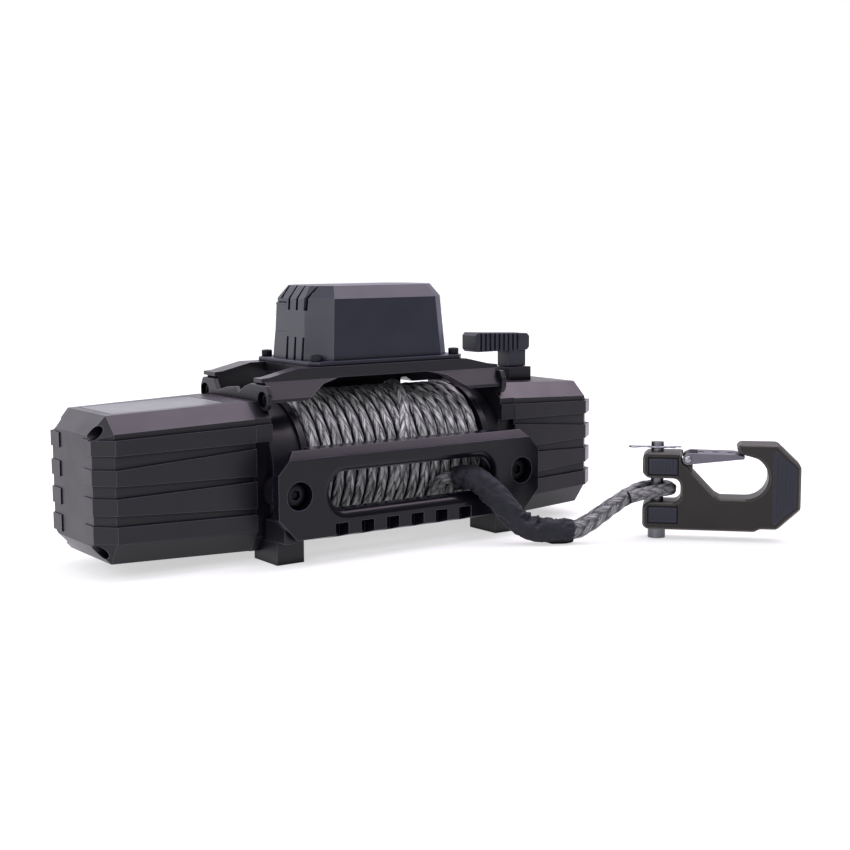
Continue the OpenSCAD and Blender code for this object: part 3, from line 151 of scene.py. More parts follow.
@dataclass(frozen=True)
class Finish:
    """A surface with a mottled colour, a fine grain, slightly worn edges lit by a painted highlight, and
    painted shade in its grooves.

    The mottle stands for uneven coating and handling, and the grain for the texture that the process
    leaves. Both are sized in millimetres.
    """

    name: str
    slot: Slot
    colour: str
    mottle: str
    roughness: float
    grain_mm: float
    grain_depth_mm: float
    mottle_mm: float = 35.0
    metallic: float = 0.0
    specular: float = 0.5
    # Colour and width of the painted highlight along edges, which also stands for rubbed wear
    edge: str = ""
    edge_mm: float = 0.9
    sheen: float = 0.0
    sheen_tint: str = "#ffffff"
    # Reach and colour of the painted shade in grooves and gaps
    groove_shade_mm: float = 0.0
    groove_shade: str = "#020203"

    def coordinates(self, tree: bpy.types.NodeTree) -> bpy.types.NodeSocket:
        """Give the socket that places the patterns: the object's own coordinates."""
        return add_node(tree, "ShaderNodeTexCoord").outputs["Object"]

    def grain(self, tree: bpy.types.NodeTree, at: bpy.types.NodeSocket) -> bpy.types.NodeSocket:
        """Give the height of the fine grain, from 0 to 1."""
        return add_node(tree, "ShaderNodeTexNoise",
                        {"Vector": at, "Scale": per_metre(self.grain_mm), "Detail": 2.0}).outputs["Fac"]

    def tone(self, tree: bpy.types.NodeTree, at: bpy.types.NodeSocket) -> bpy.types.NodeSocket:
        """Give how far the colour goes from the base to the mottle, from 0 to 1."""
        return add_node(tree, "ShaderNodeTexNoise",
                        {"Vector": at, "Scale": per_metre(self.mottle_mm), "Detail": 4.0}).outputs["Fac"]

    def make(self) -> bpy.types.Material:
        """Build the material.

        Returns:
            The finished node material.
        """
        made, tree = new_material(self.name)
        at = self.coordinates(tree)
        tone = self.tone(tree, at)
        grain = self.grain(tree, at)
        colour = add_node(tree, "ShaderNodeMix", {"Factor": tone, 6: to_linear(self.colour),
                                                  7: to_linear(self.mottle)}, data_type="RGBA").outputs[2]
        rough = add_node(tree, "ShaderNodeMapRange",
                         {"Value": tone, "From Min": TONE_SPAN[0], "From Max": TONE_SPAN[1],
                          "To Min": self.roughness - ROUGH_SPREAD,
                          "To Max": self.roughness + ROUGH_SPREAD}).outputs[0]
        # Painted highlight along edges, also standing for rubbed wear
        if self.edge:
            colour = self.wear_and_highlight(tree, colour)
        shine: Any = self.specular
        # Painted shade in grooves and gaps
        if self.groove_shade_mm:
            colour, shine = self.painted_shade(tree, colour)
        shader = add_node(tree, "ShaderNodeBsdfPrincipled",
                          {"Base Color": colour, "Roughness": rough, "Normal": self.bumped(tree, grain),
                           "Metallic": self.metallic, "Specular IOR Level": shine,
                           "Sheen Weight": self.sheen, "Sheen Roughness": 0.35,
                           "Sheen Tint": to_linear(self.sheen_tint)})
        add_node(tree, "ShaderNodeOutputMaterial", {"Surface": shader.outputs[0]})
        return made

    def bumped(self, tree: bpy.types.NodeTree, height: bpy.types.NodeSocket) -> bpy.types.NodeSocket:
        """Give the normal of a surface whose grain stands as high as the given socket says."""
        return add_node(tree, "ShaderNodeBump", {"Height": height, "Strength": 1.0,
                                                 "Distance": self.grain_depth_mm * MM}).outputs[0]

    def painted_shade(self, tree: bpy.types.NodeTree, colour: bpy.types.NodeSocket
             ) -> tuple[bpy.types.NodeSocket, bpy.types.NodeSocket]:
        """Paint shade into the grooves and gaps: darken their colour and dim their shine where they see
        little open sky.

        Args:
            tree: The material's nodes.
            colour: The colour on open faces.

        Returns:
            The colour with painted shade in its grooves, and how strongly the surface shines, dimmed by the
            same painted shade.
        """
        open_sky = add_node(tree, "ShaderNodeAmbientOcclusion", {"Distance": self.groove_shade_mm * MM}, samples=6)
        share = add_node(tree, "ShaderNodeMapRange", {"Value": open_sky.outputs["AO"],
                                                      "From Min": SKY_SPAN[0],
                                                      "From Max": SKY_SPAN[1]}).outputs[0]
        shown = add_node(tree, "ShaderNodeMix", {"Factor": share, 6: to_linear(self.groove_shade), 7: colour},
                         data_type="RGBA").outputs[2]
        shine = add_node(tree, "ShaderNodeMath", {0: share, 1: self.specular},
                         operation="MULTIPLY").outputs[0]
        return shown, shine

    def wear_and_highlight(self, tree: bpy.types.NodeTree, colour: bpy.types.NodeSocket) -> bpy.types.NodeSocket:
        """Lighten the colour where two faces meet: a painted highlight along the edges, which also stands for
        a rubbed coat.

        Args:
            tree: The material's nodes.
            colour: The colour away from the edges.

        Returns:
            The colour with its painted edge highlight.
        """
        round_normal = add_node(tree, "ShaderNodeBevel", {"Radius": self.edge_mm * MM}, samples=4)
        flat_normal = add_node(tree, "ShaderNodeNewGeometry")
        near = add_node(tree, "ShaderNodeVectorMath", {0: round_normal.outputs[0],
                                                       1: flat_normal.outputs["Normal"]},
                        operation="DOT_PRODUCT").outputs["Value"]
        share = add_node(tree, "ShaderNodeMapRange", {"Value": near, "From Min": EDGE_SPAN[0],
                                                      "From Max": EDGE_SPAN[1],
                                                      "To Max": EDGE_HIGHLIGHT_SHARE}).outputs[0]
        return add_node(tree, "ShaderNodeMix", {"Factor": share, 6: colour, 7: to_linear(self.edge)},
                        data_type="RGBA").outputs[2]


@dataclass(frozen=True)
class Brushed(Finish):
    """A metal that was turned or drawn: its grain is stretched along or round one axis."""

    stretch: Point = (0.02, 1.0, 1.0)

    def grain(self, tree: bpy.types.NodeTree, at: bpy.types.NodeSocket) -> bpy.types.NodeSocket:
        """Give the height of the tool marks, long one way and fine across."""
        drawn = add_node(tree, "ShaderNodeMapping", {"Vector": at, "Scale": self.stretch})
        return add_node(tree, "ShaderNodeTexNoise",
                        {"Vector": drawn.outputs[0], "Scale": per_metre(self.grain_mm), "Detail": 3.0}
                        ).outputs["Fac"]


@dataclass(frozen=True)
class Wound(Finish):
    """Enamelled wire laid side by side: round ridges one wire apart."""

    def grain(self, tree: bpy.types.NodeTree, at: bpy.types.NodeSocket) -> bpy.types.NodeSocket:
        """Give the height of the wires."""
        return add_node(tree, "ShaderNodeTexWave",
                        {"Vector": at, "Scale": bands_per_metre(self.grain_mm), "Distortion": 0.4},
                        wave_type="BANDS", bands_direction="X").outputs["Fac"]


@dataclass(frozen=True)
class Woven(Finish):
    """A plain woven cloth: two sets of threads over the piece's UV map, in metres."""

    thread_mm: float = 1.1

    def coordinates(self, tree: bpy.types.NodeTree) -> bpy.types.NodeSocket:
        """Give the piece's UV map, which follows the cloth."""
        return add_node(tree, "ShaderNodeUVMap", uv_map="cloth").outputs[0]

    def grain(self, tree: bpy.types.NodeTree, at: bpy.types.NodeSocket) -> bpy.types.NodeSocket:
        """Give the height of the weave, where the two sets of threads cross."""
        scale = bands_per_metre(self.thread_mm)
        sets = [add_node(tree, "ShaderNodeTexWave", {"Vector": at, "Scale": scale, "Distortion": 0.6,
                                                     "Detail": 1.0, "Detail Scale": 2.0},
                         wave_type="BANDS", bands_direction=way).outputs["Fac"] for way in "XY"]
        return add_node(tree, "ShaderNodeMath", {0: sets[0], 1: sets[1]}, operation="MULTIPLY").outputs[0]


@dataclass(frozen=True)
class Braided(Finish):
    """Braided synthetic rope: strands of fine yarn with painted shade in the gaps between them.

    The UV map holds how far a point is across the two families of strands, and the attributes "crown"
    and "family" say how high the strand stands there and which family lies on top. A strand shows nine
    yarns side by side, which is coarser than the real one, so that they can be seen.
    """

    # Near-black colour of the gaps where strands dive under others: painted shade
    gap: str = "#15161a"
    bright: str = "#dcdddf"
    yarns: float = 9.0
    yarn_stretch: float = 0.8
    bright_span: tuple[float, float] = (0.42, 0.62)
    handled_span: tuple[float, float] = (0.35, 0.7)
    handled_share: float = 0.5
    gap_shade_span: tuple[float, float] = (0.25, 0.7)

    def make(self) -> bpy.types.Material:
        """Build the material.

        Returns:
            The finished node material.
        """
        made, tree = new_material(self.name)
        lay = add_node(tree, "ShaderNodeUVMap", uv_map="lay").outputs[0]
        parts = add_node(tree, "ShaderNodeSeparateXYZ", {0: lay})
        families = []
        for across, along in (("X", "Y"), ("Y", "X")):
            wide = add_node(tree, "ShaderNodeMath", {0: parts.outputs[across], 1: self.yarns},
                            operation="MULTIPLY")
            long = add_node(tree, "ShaderNodeMath", {0: parts.outputs[along], 1: self.yarn_stretch},
                            operation="MULTIPLY")
            place = add_node(tree, "ShaderNodeCombineXYZ", {0: wide.outputs[0], 1: long.outputs[0]})
            families.append(add_node(tree, "ShaderNodeTexNoise",
                                     {"Vector": place.outputs[0], "Scale": 1.0, "Detail": 3.0,
                                      "Roughness": 0.65}).outputs["Fac"])
        family = add_node(tree, "ShaderNodeAttribute", attribute_name="family").outputs["Fac"]
        crown = add_node(tree, "ShaderNodeAttribute", attribute_name="crown").outputs["Fac"]
        yarn = add_node(tree, "ShaderNodeMix", {"Factor": family, 2: families[0], 3: families[1]}).outputs[0]
        at = self.coordinates(tree)
        patch = add_node(tree, "ShaderNodeTexNoise", {"Vector": at, "Scale": per_metre(self.mottle_mm),
                                                      "Detail": 3.0}).outputs["Fac"]
        lit = add_node(tree, "ShaderNodeMapRange", {"Value": yarn, "From Min": self.bright_span[0],
                                                    "From Max": self.bright_span[1]}).outputs[0]
        strand = add_node(tree, "ShaderNodeMix", {"Factor": lit, 6: to_linear(self.colour),
                                                  7: to_linear(self.bright)}, data_type="RGBA").outputs[2]
        wear_and_highlight = add_node(tree, "ShaderNodeMapRange", {"Value": patch, "From Min": self.handled_span[0],
                                                     "From Max": self.handled_span[1],
                                                     "To Max": self.handled_share}).outputs[0]
        strand = add_node(tree, "ShaderNodeMix", {"Factor": wear_and_highlight, 6: strand, 7: to_linear(self.mottle)},
                          data_type="RGBA").outputs[2]
        # Painted shade: the gap colour where the strands sink low
        deep = add_node(tree, "ShaderNodeMapRange", {"Value": crown, "From Min": self.gap_shade_span[0],
                                                     "From Max": self.gap_shade_span[1]}).outputs[0]
        colour = add_node(tree, "ShaderNodeMix", {"Factor": deep, 6: to_linear(self.gap), 7: strand},
                          data_type="RGBA").outputs[2]
        # Painted shade in the rope's grooves and between its turns
        colour, shine = self.painted_shade(tree, colour)
        shader = add_node(tree, "ShaderNodeBsdfPrincipled",
                          {"Base Color": colour, "Roughness": self.roughness,
                           "Normal": self.bumped(tree, yarn), "Specular IOR Level": shine,
                           "Sheen Weight": self.sheen, "Sheen Roughness": 0.4})
        add_node(tree, "ShaderNodeOutputMaterial", {"Surface": shader.outputs[0]})
        return made


# On each finish below, the edge colour paints a highlight along rounded edges, and the groove reach paints
# shade into grooves and gaps.
# Polyester powder coat over die-cast aluminium: satin, near black, with a faint orange peel and a
# violet cast where the light grazes it.
POWDER_COAT = Finish("die_cast_aluminium_powder_coated", Slot.CAST, "#0c0c10", "#121217", 0.34, 0.9, 0.012,
                     edge="#4a4954", edge_mm=0.8, sheen=0.10, sheen_tint="#9a6fa8", specular=0.30,
                     groove_shade_mm=7.0)
# The same coat on the cast fairlead, darker in colour and shine to paint the shade on its face, and smoother,
# which gives its lips a clear streak.
FAIRLEAD_COAT = Finish("cast_aluminium_satin_coated", Slot.CAST, "#06060a", "#0a0a10", 0.22, 1.4, 0.006,
                       edge="#50505f", edge_mm=0.9, sheen=0.04, sheen_tint="#6d70a8", specular=0.22,
                       groove_shade_mm=4.5)
# Glass-filled nylon, moulded with a fine spark-eroded texture: even slate black and matt.
MOULDED_NYLON = Finish("glass_filled_nylon_moulded", Slot.BOX, "#141822", "#1a1e2a", 0.40, 0.6, 0.02,
                       edge="#444654", edge_mm=0.8, sheen=0.22, sheen_tint="#8f86b4", specular=0.42,
                       groove_shade_mm=5.0)
# Black oxide on high-tensile steel: dark, oily and slightly shiny.
BLACK_OXIDE = Brushed("steel_black_oxide", Slot.STEEL, "#131318", "#1d1e24", 0.34, 0.5, 0.004, metallic=0.6,
                      edge="#4c4e56", edge_mm=0.5, mottle_mm=6.0, stretch=(1.0, 0.2, 1.0), specular=0.3,
                      groove_shade_mm=9.0)
# Turned and zinc-plated steel: fine rings and a cool grey.
TURNED_STEEL = Brushed("steel_turned_zinc_plated", Slot.STEEL, "#5b5d62", "#6f7176", 0.34, 0.35, 0.006,
                       metallic=1.0, mottle_mm=9.0, stretch=(1.0, 1.0, 0.03))
# Hobbed and case-hardened steel of the gears: darker, with oil in its tool marks.
GEAR_STEEL = Brushed("steel_hobbed_hardened", Slot.STEEL, "#5f6268", "#77797e", 0.36, 0.3, 0.008,
                     metallic=1.0, mottle_mm=7.0, stretch=(0.04, 1.0, 1.0))
# Stacked electrical sheet of the armature: the edge of each lamination shows.
LAMINATED_STEEL = Wound("electrical_steel_laminated", Slot.STEEL, "#4d4f55", "#5d6066", 0.45, 1.0, 0.05,
                        metallic=1.0, mottle_mm=12.0)
# Sintered bronze of bushings, brushes and commutator: warm and finely porous.
SINTERED_BRONZE = Finish("bronze_sintered", Slot.BRONZE, "#8f6f35", "#a5844a", 0.38, 0.25, 0.01, metallic=1.0,
                         mottle_mm=5.0)
# Enamelled copper wire, laid turn beside turn.
COPPER_WIRE = Wound("copper_wire_enamelled", Slot.COPPER, "#7a3d1c", "#9a5a2c", 0.35, 1.6, 0.25, metallic=0.8,
                    mottle_mm=10.0)
# Braided high-modulus polyethylene: grey, waxy, with bright yarns on the crowns.
GREY_ROPE = Braided("polyethylene_rope_braided", Slot.ROPE, "#2b2c2e", "#3a3b3f", 0.36, 0.5, 0.25,
                    mottle_mm=24.0, sheen=0.08, groove_shade_mm=4.5)
# The same rope where it hangs free, with the duller skin of its spliced and handled end.
HANDLED_ROPE = replace(GREY_ROPE, name="polyethylene_rope_handled", bright="#98999c")
# Woven nylon of the sleeve: black, dull, with the sheen of its fine hairs.
NYLON_CLOTH = Woven("nylon_cloth_woven", Slot.SLEEVE, "#101118", "#1b1c25", 0.62, 1.0, 0.22, mottle_mm=9.0,
                    sheen=0.13, sheen_tint="#8a8a98", specular=0.25, groove_shade_mm=6.0)
# Hard-anodised forged aluminium of the hook: warm dark grey with a dry, blasted skin.
# Its light edge colour paints a highlight on the hook's rounded rims.
HARD_ANODISE = Finish("aluminium_hard_anodised", Slot.HOOK, "#090808", "#211e1c", 0.38, 0.8, 0.05,
                      edge="#85807a", edge_mm=2.0, specular=0.26, groove_shade_mm=3.0, mottle_mm=55.0)
# Moulded rubber of the hook's pads: blue-black and soft to the light.
PAD_RUBBER = Finish("rubber_moulded", Slot.RUBBER, "#141620", "#1a1c28", 0.6, 0.5, 0.03, edge="#2f3444",
                    edge_mm=0.5, specular=0.35, groove_shade_mm=3.0)
# Near-black, dull copy of the same rubber round each pad: painted shade of the gap between the pad and its
# bed.
PAD_GAP_SHADE = replace(PAD_RUBBER, name="rubber_gap_shade", colour="#040406", mottle="#08080b", edge="", specular=0.12)
# Bead-blasted and clear-anodised aluminium of the gate: a mid, slightly violet grey.
BLASTED_GATE = Finish("aluminium_bead_blasted", Slot.GATE, "#55545c", "#615f68", 0.42, 0.35, 0.015,
                      metallic=0.85, edge="#8f8f9a", edge_mm=0.5, mottle_mm=8.0)
# Polished stainless steel of the gate's rivet and the hairpin: bright, with a soft reflection.
BRIGHT_STEEL = Brushed("stainless_steel_polished", Slot.STEEL, "#7d7f84", "#93959a", 0.22, 0.3, 0.002,
                       metallic=1.0, mottle_mm=4.0, stretch=(1.0, 0.2, 1.0))
# Bare satin foil where a data plate goes: left plain.
PLATE_FOIL = Brushed("aluminium_foil_satin", Slot.CAST, "#6c6e73", "#787a7f", 0.4, 0.4, 0.006, metallic=0.7,
                     mottle_mm=20.0, stretch=(0.05, 1.0, 1.0))


def deselect() -> None:
    """Leave edit mode and deselect every object."""
    if bpy.context.object and bpy.context.object.mode != "OBJECT":
        bpy.ops.object.mode_set(mode="OBJECT")
    bpy.ops.object.select_all(action="DESELECT")


def activate(piece: bpy.types.Object) -> bpy.types.Object:
    """Make one object the only selected and active one."""
    deselect()
    piece.select_set(True)
    bpy.context.view_layer.objects.active = piece
    return piece


def edit(piece: bpy.types.Object) -> bmesh.types.BMesh:
    """Open a piece in edit mode with nothing selected.

    Args:
        piece: The object to shape.

    Returns:
        Its live edit mesh.
    """
    activate(piece)
    bpy.ops.object.mode_set(mode="EDIT")
    bpy.ops.mesh.select_mode(type="VERT")
    bpy.ops.mesh.select_all(action="DESELECT")
    return bmesh.from_edit_mesh(piece.data)


def settle(piece: bpy.types.Object, smooth_deg: float = 32.0) -> bpy.types.Object:
    """Close edit mode, put the place and turn into the mesh and smooth its shallow edges.

    Args:
        piece: The object that was shaped.
        smooth_deg: Edges up to this angle are shaded smooth.

    Returns:
        The same object, at the origin, unturned and unscaled.
    """
    activate(piece)
    bpy.ops.object.transform_apply(location=True, rotation=True, scale=True)
    bpy.ops.object.shade_smooth_by_angle(angle=math.radians(smooth_deg))
    return piece


def outward(piece: bpy.types.Object) -> bpy.types.Object:
    """Merge a piece's doubles and turn all its faces outwards."""
    edit(piece)
    bpy.ops.mesh.select_all(action="SELECT")
    bpy.ops.mesh.remove_doubles(threshold=1e-6)
    bpy.ops.mesh.normals_make_consistent(inside=False)
    bpy.ops.object.mode_set(mode="OBJECT")
    return piece


def join(pieces: Sequence[bpy.types.Object], name: str) -> bpy.types.Object:
    """Join several objects into one.

    Args:
        pieces: The objects, the first of which stays.
        name: The name of the whole.

    Returns:
        The joined object.
    """
    activate(pieces[0])
    for other in pieces:
        other.select_set(True)
    if len(pieces) > 1:
        bpy.ops.object.join()
    pieces[0].name = pieces[0].data.name = name
    return pieces[0]


def copy_of(piece: bpy.types.Object, move: Matrix) -> bpy.types.Object:
    """Copy a piece with a mesh of its own and put it elsewhere.

    Args:
        piece: The piece that is modelled once.
        move: Where the copy goes.

    Returns:
        The copy, with its place in its mesh.
    """
    made = piece.copy()
    made.data = piece.data.copy()
    bpy.context.scene.collection.objects.link(made)
    made.data.transform(move)
    if move.determinant() < 0:
        made.data.flip_normals()
    return made


def sharp_edges(shape: bmesh.types.BMesh, angle: float, least: float) -> bool:
    """Select the sharp edges that are long enough to take a bevel.

    Args:
        shape: The open edit mesh.
        angle: The least angle between the two faces, in radians.
        least: The least length, in metres.

    Returns:
        Whether any edge was selected.
    """
    sharp = [edge for edge in shape.edges if len(edge.link_faces) == 2 and edge.calc_length() > least
             and edge.calc_face_angle(0.0) > angle]
    for edge in sharp:
        edge.select_set(True)
    shape.select_flush_mode()
    return bool(sharp)


def crisp(piece: bpy.types.Object) -> bpy.types.Object:
    """Keep a piece's broad faces flat to the light, so that only its rounded edges turn."""
    activate(piece)
    keep = piece.modifiers.new("flat_faces", "WEIGHTED_NORMAL")
    keep.keep_sharp, keep.weight = True, 100
    bpy.ops.object.modifier_apply(modifier=keep.name)
    return piece


def softened(node: str, name: str, width_mm: float, segments: int = 2, least_mm: float = 3.0,
             angle_deg: float = 28.0, shape_it: Callable[[bmesh.types.BMesh], None] | None = None
             ) -> bpy.types.Object:
    """Copy a CAD node, merge it and round its sharp edges as casting or moulding leaves them.

    Args:
        node: The CAD node that is copied.
        name: The new piece's name.
        width_mm: How wide the rounding is.
        segments: How many faces go round it.
        least_mm: Edges shorter than this stay as they are.
        angle_deg: Edges flatter than this stay as they are.
        shape_it: Changes the open mesh before its edges are rounded.

    Returns:
        The new piece.
    """
    made = linked(name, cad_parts[node].data.copy())
    made.data.name = name
    activate(made)
    bpy.ops.mesh.customdata_custom_splitnormals_clear()
    edit(made)
    bpy.ops.mesh.select_all(action="SELECT")
    bpy.ops.mesh.remove_doubles(threshold=2e-6)
    bpy.ops.mesh.dissolve_limited(angle_limit=math.radians(0.4))
    if shape_it:
        shape_it(bmesh.from_edit_mesh(made.data))
        bmesh.update_edit_mesh(made.data)
    bpy.ops.mesh.select_all(action="DESELECT")
    bpy.ops.mesh.select_mode(type="EDGE")
    shape = bmesh.from_edit_mesh(made.data)
    if sharp_edges(shape, math.radians(angle_deg), least_mm * MM):
        bmesh.update_edit_mesh(made.data)
        bpy.ops.mesh.bevel(offset=width_mm * MM, segments=segments, affect="EDGES", clamp_overlap=True,
                           miter_outer="ARC")
    bpy.ops.mesh.select_all(action="DESELECT")
    bpy.ops.mesh.select_mode(type="VERT")
    return crisp(settle(made))


class Bench:
    """Makes each finish once, and dresses the finished pieces and the CAD nodes that stay."""

    def __init__(self) -> None:
        """Start with no finish made."""
        self._made: dict[str, bpy.types.Material] = {}

    def material(self, finish: Finish) -> bpy.types.Material:
        """Give a finish's material, made the first time that it is asked for."""
        if finish.name not in self._made:
            self._made[finish.name] = finish.make()
        return self._made[finish.name]

    def coat(self, piece: bpy.types.Object, finish: Finish) -> None:
        """Give a piece one finish all over."""
        piece.data.materials.clear()
        piece.data.materials.append(self.material(finish))

    def dress(self, piece: bpy.types.Object, finish: Finish, body: str, replaced: Sequence[str] = ()
              ) -> bpy.types.Object:
        """Finish a new piece and let it ride on its body.

        Args:
            piece: The modelled piece.
            finish: Its surface.
            body: The CAD body that it moves with.
            replaced: The CAD nodes that it stands for.

        Returns:
            The same piece.
        """
        self.coat(piece, finish)
        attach(piece, body)
        if replaced:
            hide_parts(*replaced)
        LOG.info("%s: %d faces, %s", piece.name, len(piece.data.polygons), finish.name)
        return piece

    def coat_node(self, node: str, finish: Finish) -> None:
        """Give a CAD node that stays a better material in its own slots."""
        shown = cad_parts[node]
        if not shown.material_slots:
            shown.data.materials.append(None)
        for place in shown.material_slots:
            place.material = self.material(finish)
        LOG.info("%s: CAD node, %s", node, finish.name)


def smooth_route(points: Sequence[Point], step: float) -> np.ndarray:
    """Run a smooth line through a route's points.

    Args:
        points: The route, in metres.
        step: The distance between the line's points.

    Returns:
        The line's points, evenly spaced.
    """
    route = np.array(points, float)
    longer = np.vstack([2 * route[0] - route[1], route, 2 * route[-1] - route[-2]])
    line = []
    for i in range(1, len(longer) - 2):
        a, b, c, d = longer[i - 1:i + 3]
        for t in np.linspace(0, 1, ROUTE_SAMPLES, endpoint=False):
            line.append(0.5 * (2 * b + (c - a) * t + (2 * a - 5 * b + 4 * c - d) * t ** 2
                               + (3 * b - a - 3 * c + d) * t ** 3))
    line.append(route[-1])
    return evenly(np.array(line), step)


def run_of(line: np.ndarray) -> np.ndarray:
    """Give each point's distance along its line."""
    return np.concatenate([[0], np.cumsum(np.linalg.norm(np.diff(line, axis=0), axis=1))])


def evenly(line: np.ndarray, step: float) -> np.ndarray:
    """Space a line's points evenly, about a step apart."""
    along = run_of(line)
    at = np.linspace(0, along[-1], max(3, round(along[-1] / step) + 1))
    return np.stack([np.interp(at, along, line[:, k]) for k in range(3)], axis=1)


def rings(line: np.ndarray, up: np.ndarray) -> tuple[np.ndarray, np.ndarray, np.ndarray]:
    """Give each point of a line its distance along it and two directions across it.

    Args:
        line: The centre line.
        up: One direction, or one for each point, that fixes where a ring starts.

    Returns:
        Distances, side directions and lift directions.
    """
    ahead = np.gradient(line, axis=0)
    ahead /= np.linalg.norm(ahead, axis=1, keepdims=True)
    side = np.cross(ahead, np.broadcast_to(up, line.shape))
    side /= np.linalg.norm(side, axis=1, keepdims=True)
    return run_of(line), side, np.cross(side, ahead)


def round_about(around: int, side: np.ndarray, lift: np.ndarray) -> tuple[np.ndarray, np.ndarray]:
    """Spread places evenly round a line.

    Args:
        around: How many places a ring has.
        side: The side direction at each point of the line.
        lift: The lift direction at each point of the line.

    Returns:
        The places' angles, and their outward directions as rings by places by three.
    """
    turn = math.tau * np.arange(around) / around
    return turn, (np.cos(turn)[None, :, None] * side[:, None, :]
                  + np.sin(turn)[None, :, None] * lift[:, None, :])


def tube_faces(count: int, around: int) -> tuple[np.ndarray, np.ndarray]:
    """List a tube's quads and, for each corner, its place round and along.

    Args:
        count: How many rings there are.
        around: How many points a ring has.

    Returns:
        Corner indices, and (ring, place) of each corner with the seam's last place kept apart.
    """
    i, j = np.meshgrid(np.arange(count - 1), np.arange(around), indexing="ij")
    ring = np.stack([i, i + 1, i + 1, i], axis=-1).reshape(-1, 4)
    place = np.stack([j, j, j + 1, j + 1], axis=-1).reshape(-1, 4)
    return ring * around + place % around, np.stack([ring, place], axis=-1)


def tube_mesh(name: str, points: np.ndarray, uv: Callable[[np.ndarray, np.ndarray], np.ndarray], layer: str,
              facts: dict[str, np.ndarray] | None = None) -> bpy.types.Object:
    """Make a closed tube from its rings.

    Args:
        name: The piece's name.
        points: Ring points, as rings by places by three.
        uv: Gives a corner's UV from its ring and place.
        layer: The UV map's name.
        facts: Float attributes, as rings by places.

    Returns:
        The tube, with both ends capped.
    """
    count, around = points.shape[:2]
    faces, corners = tube_faces(count, around)
    caps = [list(range(around))[::-1], [(count - 1) * around + k for k in range(around)]]
    mesh = bpy.data.meshes.new(name)
    mesh.from_pydata(points.reshape(-1, 3).tolist(), [], faces.tolist() + caps)
    flat = uv(corners[..., 0].ravel(), corners[..., 1].ravel())
    spread = np.vstack([flat, np.zeros((2 * around, 2))]).astype(np.float32)
    mesh.uv_layers.new(name=layer).data.foreach_set("uv", spread.ravel())
    for fact, values in (facts or {}).items():
        column = mesh.attributes.new(fact, "FLOAT", "POINT").data
        column.foreach_set("value", values.astype(np.float32).ravel())
    mesh.update()
    made = linked(name, mesh)
    edit(made)
    bpy.ops.mesh.select_all(action="SELECT")
    bpy.ops.mesh.normals_make_consistent(inside=False)
    bpy.ops.object.mode_set(mode="OBJECT")
    return settle(made, TUBE_SMOOTH_DEG)


@dataclass(frozen=True)
class Lay:
    """How a twelve-strand rope is braided: two families of six strands, two over and two under.

    A cell is how far along the rope a strand takes to move over by its own width, and middle is the
    height of the strands' skin, as a share of the relief, that lies on the rope's middle radius.
    """

    cell: float = 21.0 * MM
    relief: float = 1.2 * MM
    around: int = 36
    step: float = 1.8 * MM
    strands: int = 6
    middle: float = 0.72
    wobble: float = 0.25 * MM
    wobble_cells: float = 3.1

    def tube(self, name: str, line: np.ndarray, radius: np.ndarray, up: np.ndarray) -> bpy.types.Object:
        """Braid a rope along a line.

        Args:
            name: The piece's name.
            line: The rope's centre line, at its final spacing.
            radius: The rope's middle radius at each point.
            up: Where the first place of each ring lies.

        Returns:
            The braided tube.
        """
        along, side, lift = rings(line, up)
        turn, out = round_about(self.around, side, lift)
        one = self.strands * turn[None, :] / math.tau + along[:, None] / self.cell
        two = self.strands * turn[None, :] / math.tau - along[:, None] / self.cell
        crown, family = self.crossing(one, two)
        wobble = self.wobble * np.sin(along / (self.wobble_cells * self.cell))[:, None]
        far = radius[:, None] + self.relief * (crown - self.middle) + wobble
        points = line[:, None, :] + far[..., None] * out
        step_round = self.strands / self.around

        def place(ring: np.ndarray, spot: np.ndarray) -> np.ndarray:
            """Give a corner's place across the two families."""
            run = along[ring] / self.cell
            return np.stack([spot * step_round + run, spot * step_round - run], axis=1)

        return tube_mesh(name, points, place, "lay", {"crown": crown, "family": family})

    @staticmethod
    def crossing(one: np.ndarray, two: np.ndarray) -> tuple[np.ndarray, np.ndarray]:
        """Say how high the rope's skin stands, and which family of strands is on top.

        Args:
            one: Place across the first family, in strands.
            two: Place across the second family, in strands.

        Returns:
            Heights from 0 to 1, and 0 or 1 for the family on top.
        """
        a, b = one - np.floor(one), two - np.floor(two)
        kind = np.mod(np.floor(one) + np.floor(two), 4)
        second = kind >= 2
        across = np.where(second, b, a)
        float_at = np.where(second, a, b) + np.where(np.mod(kind, 2) == 1, 1.0, 0.0)
        arch = np.sqrt(np.clip(1 - (2 * across - 1) ** 2, 0, 1))
        rise = STRAND_LOW + (1 - STRAND_LOW) * np.sin(math.pi * float_at / 2)
        return arch * rise, second.astype(float)


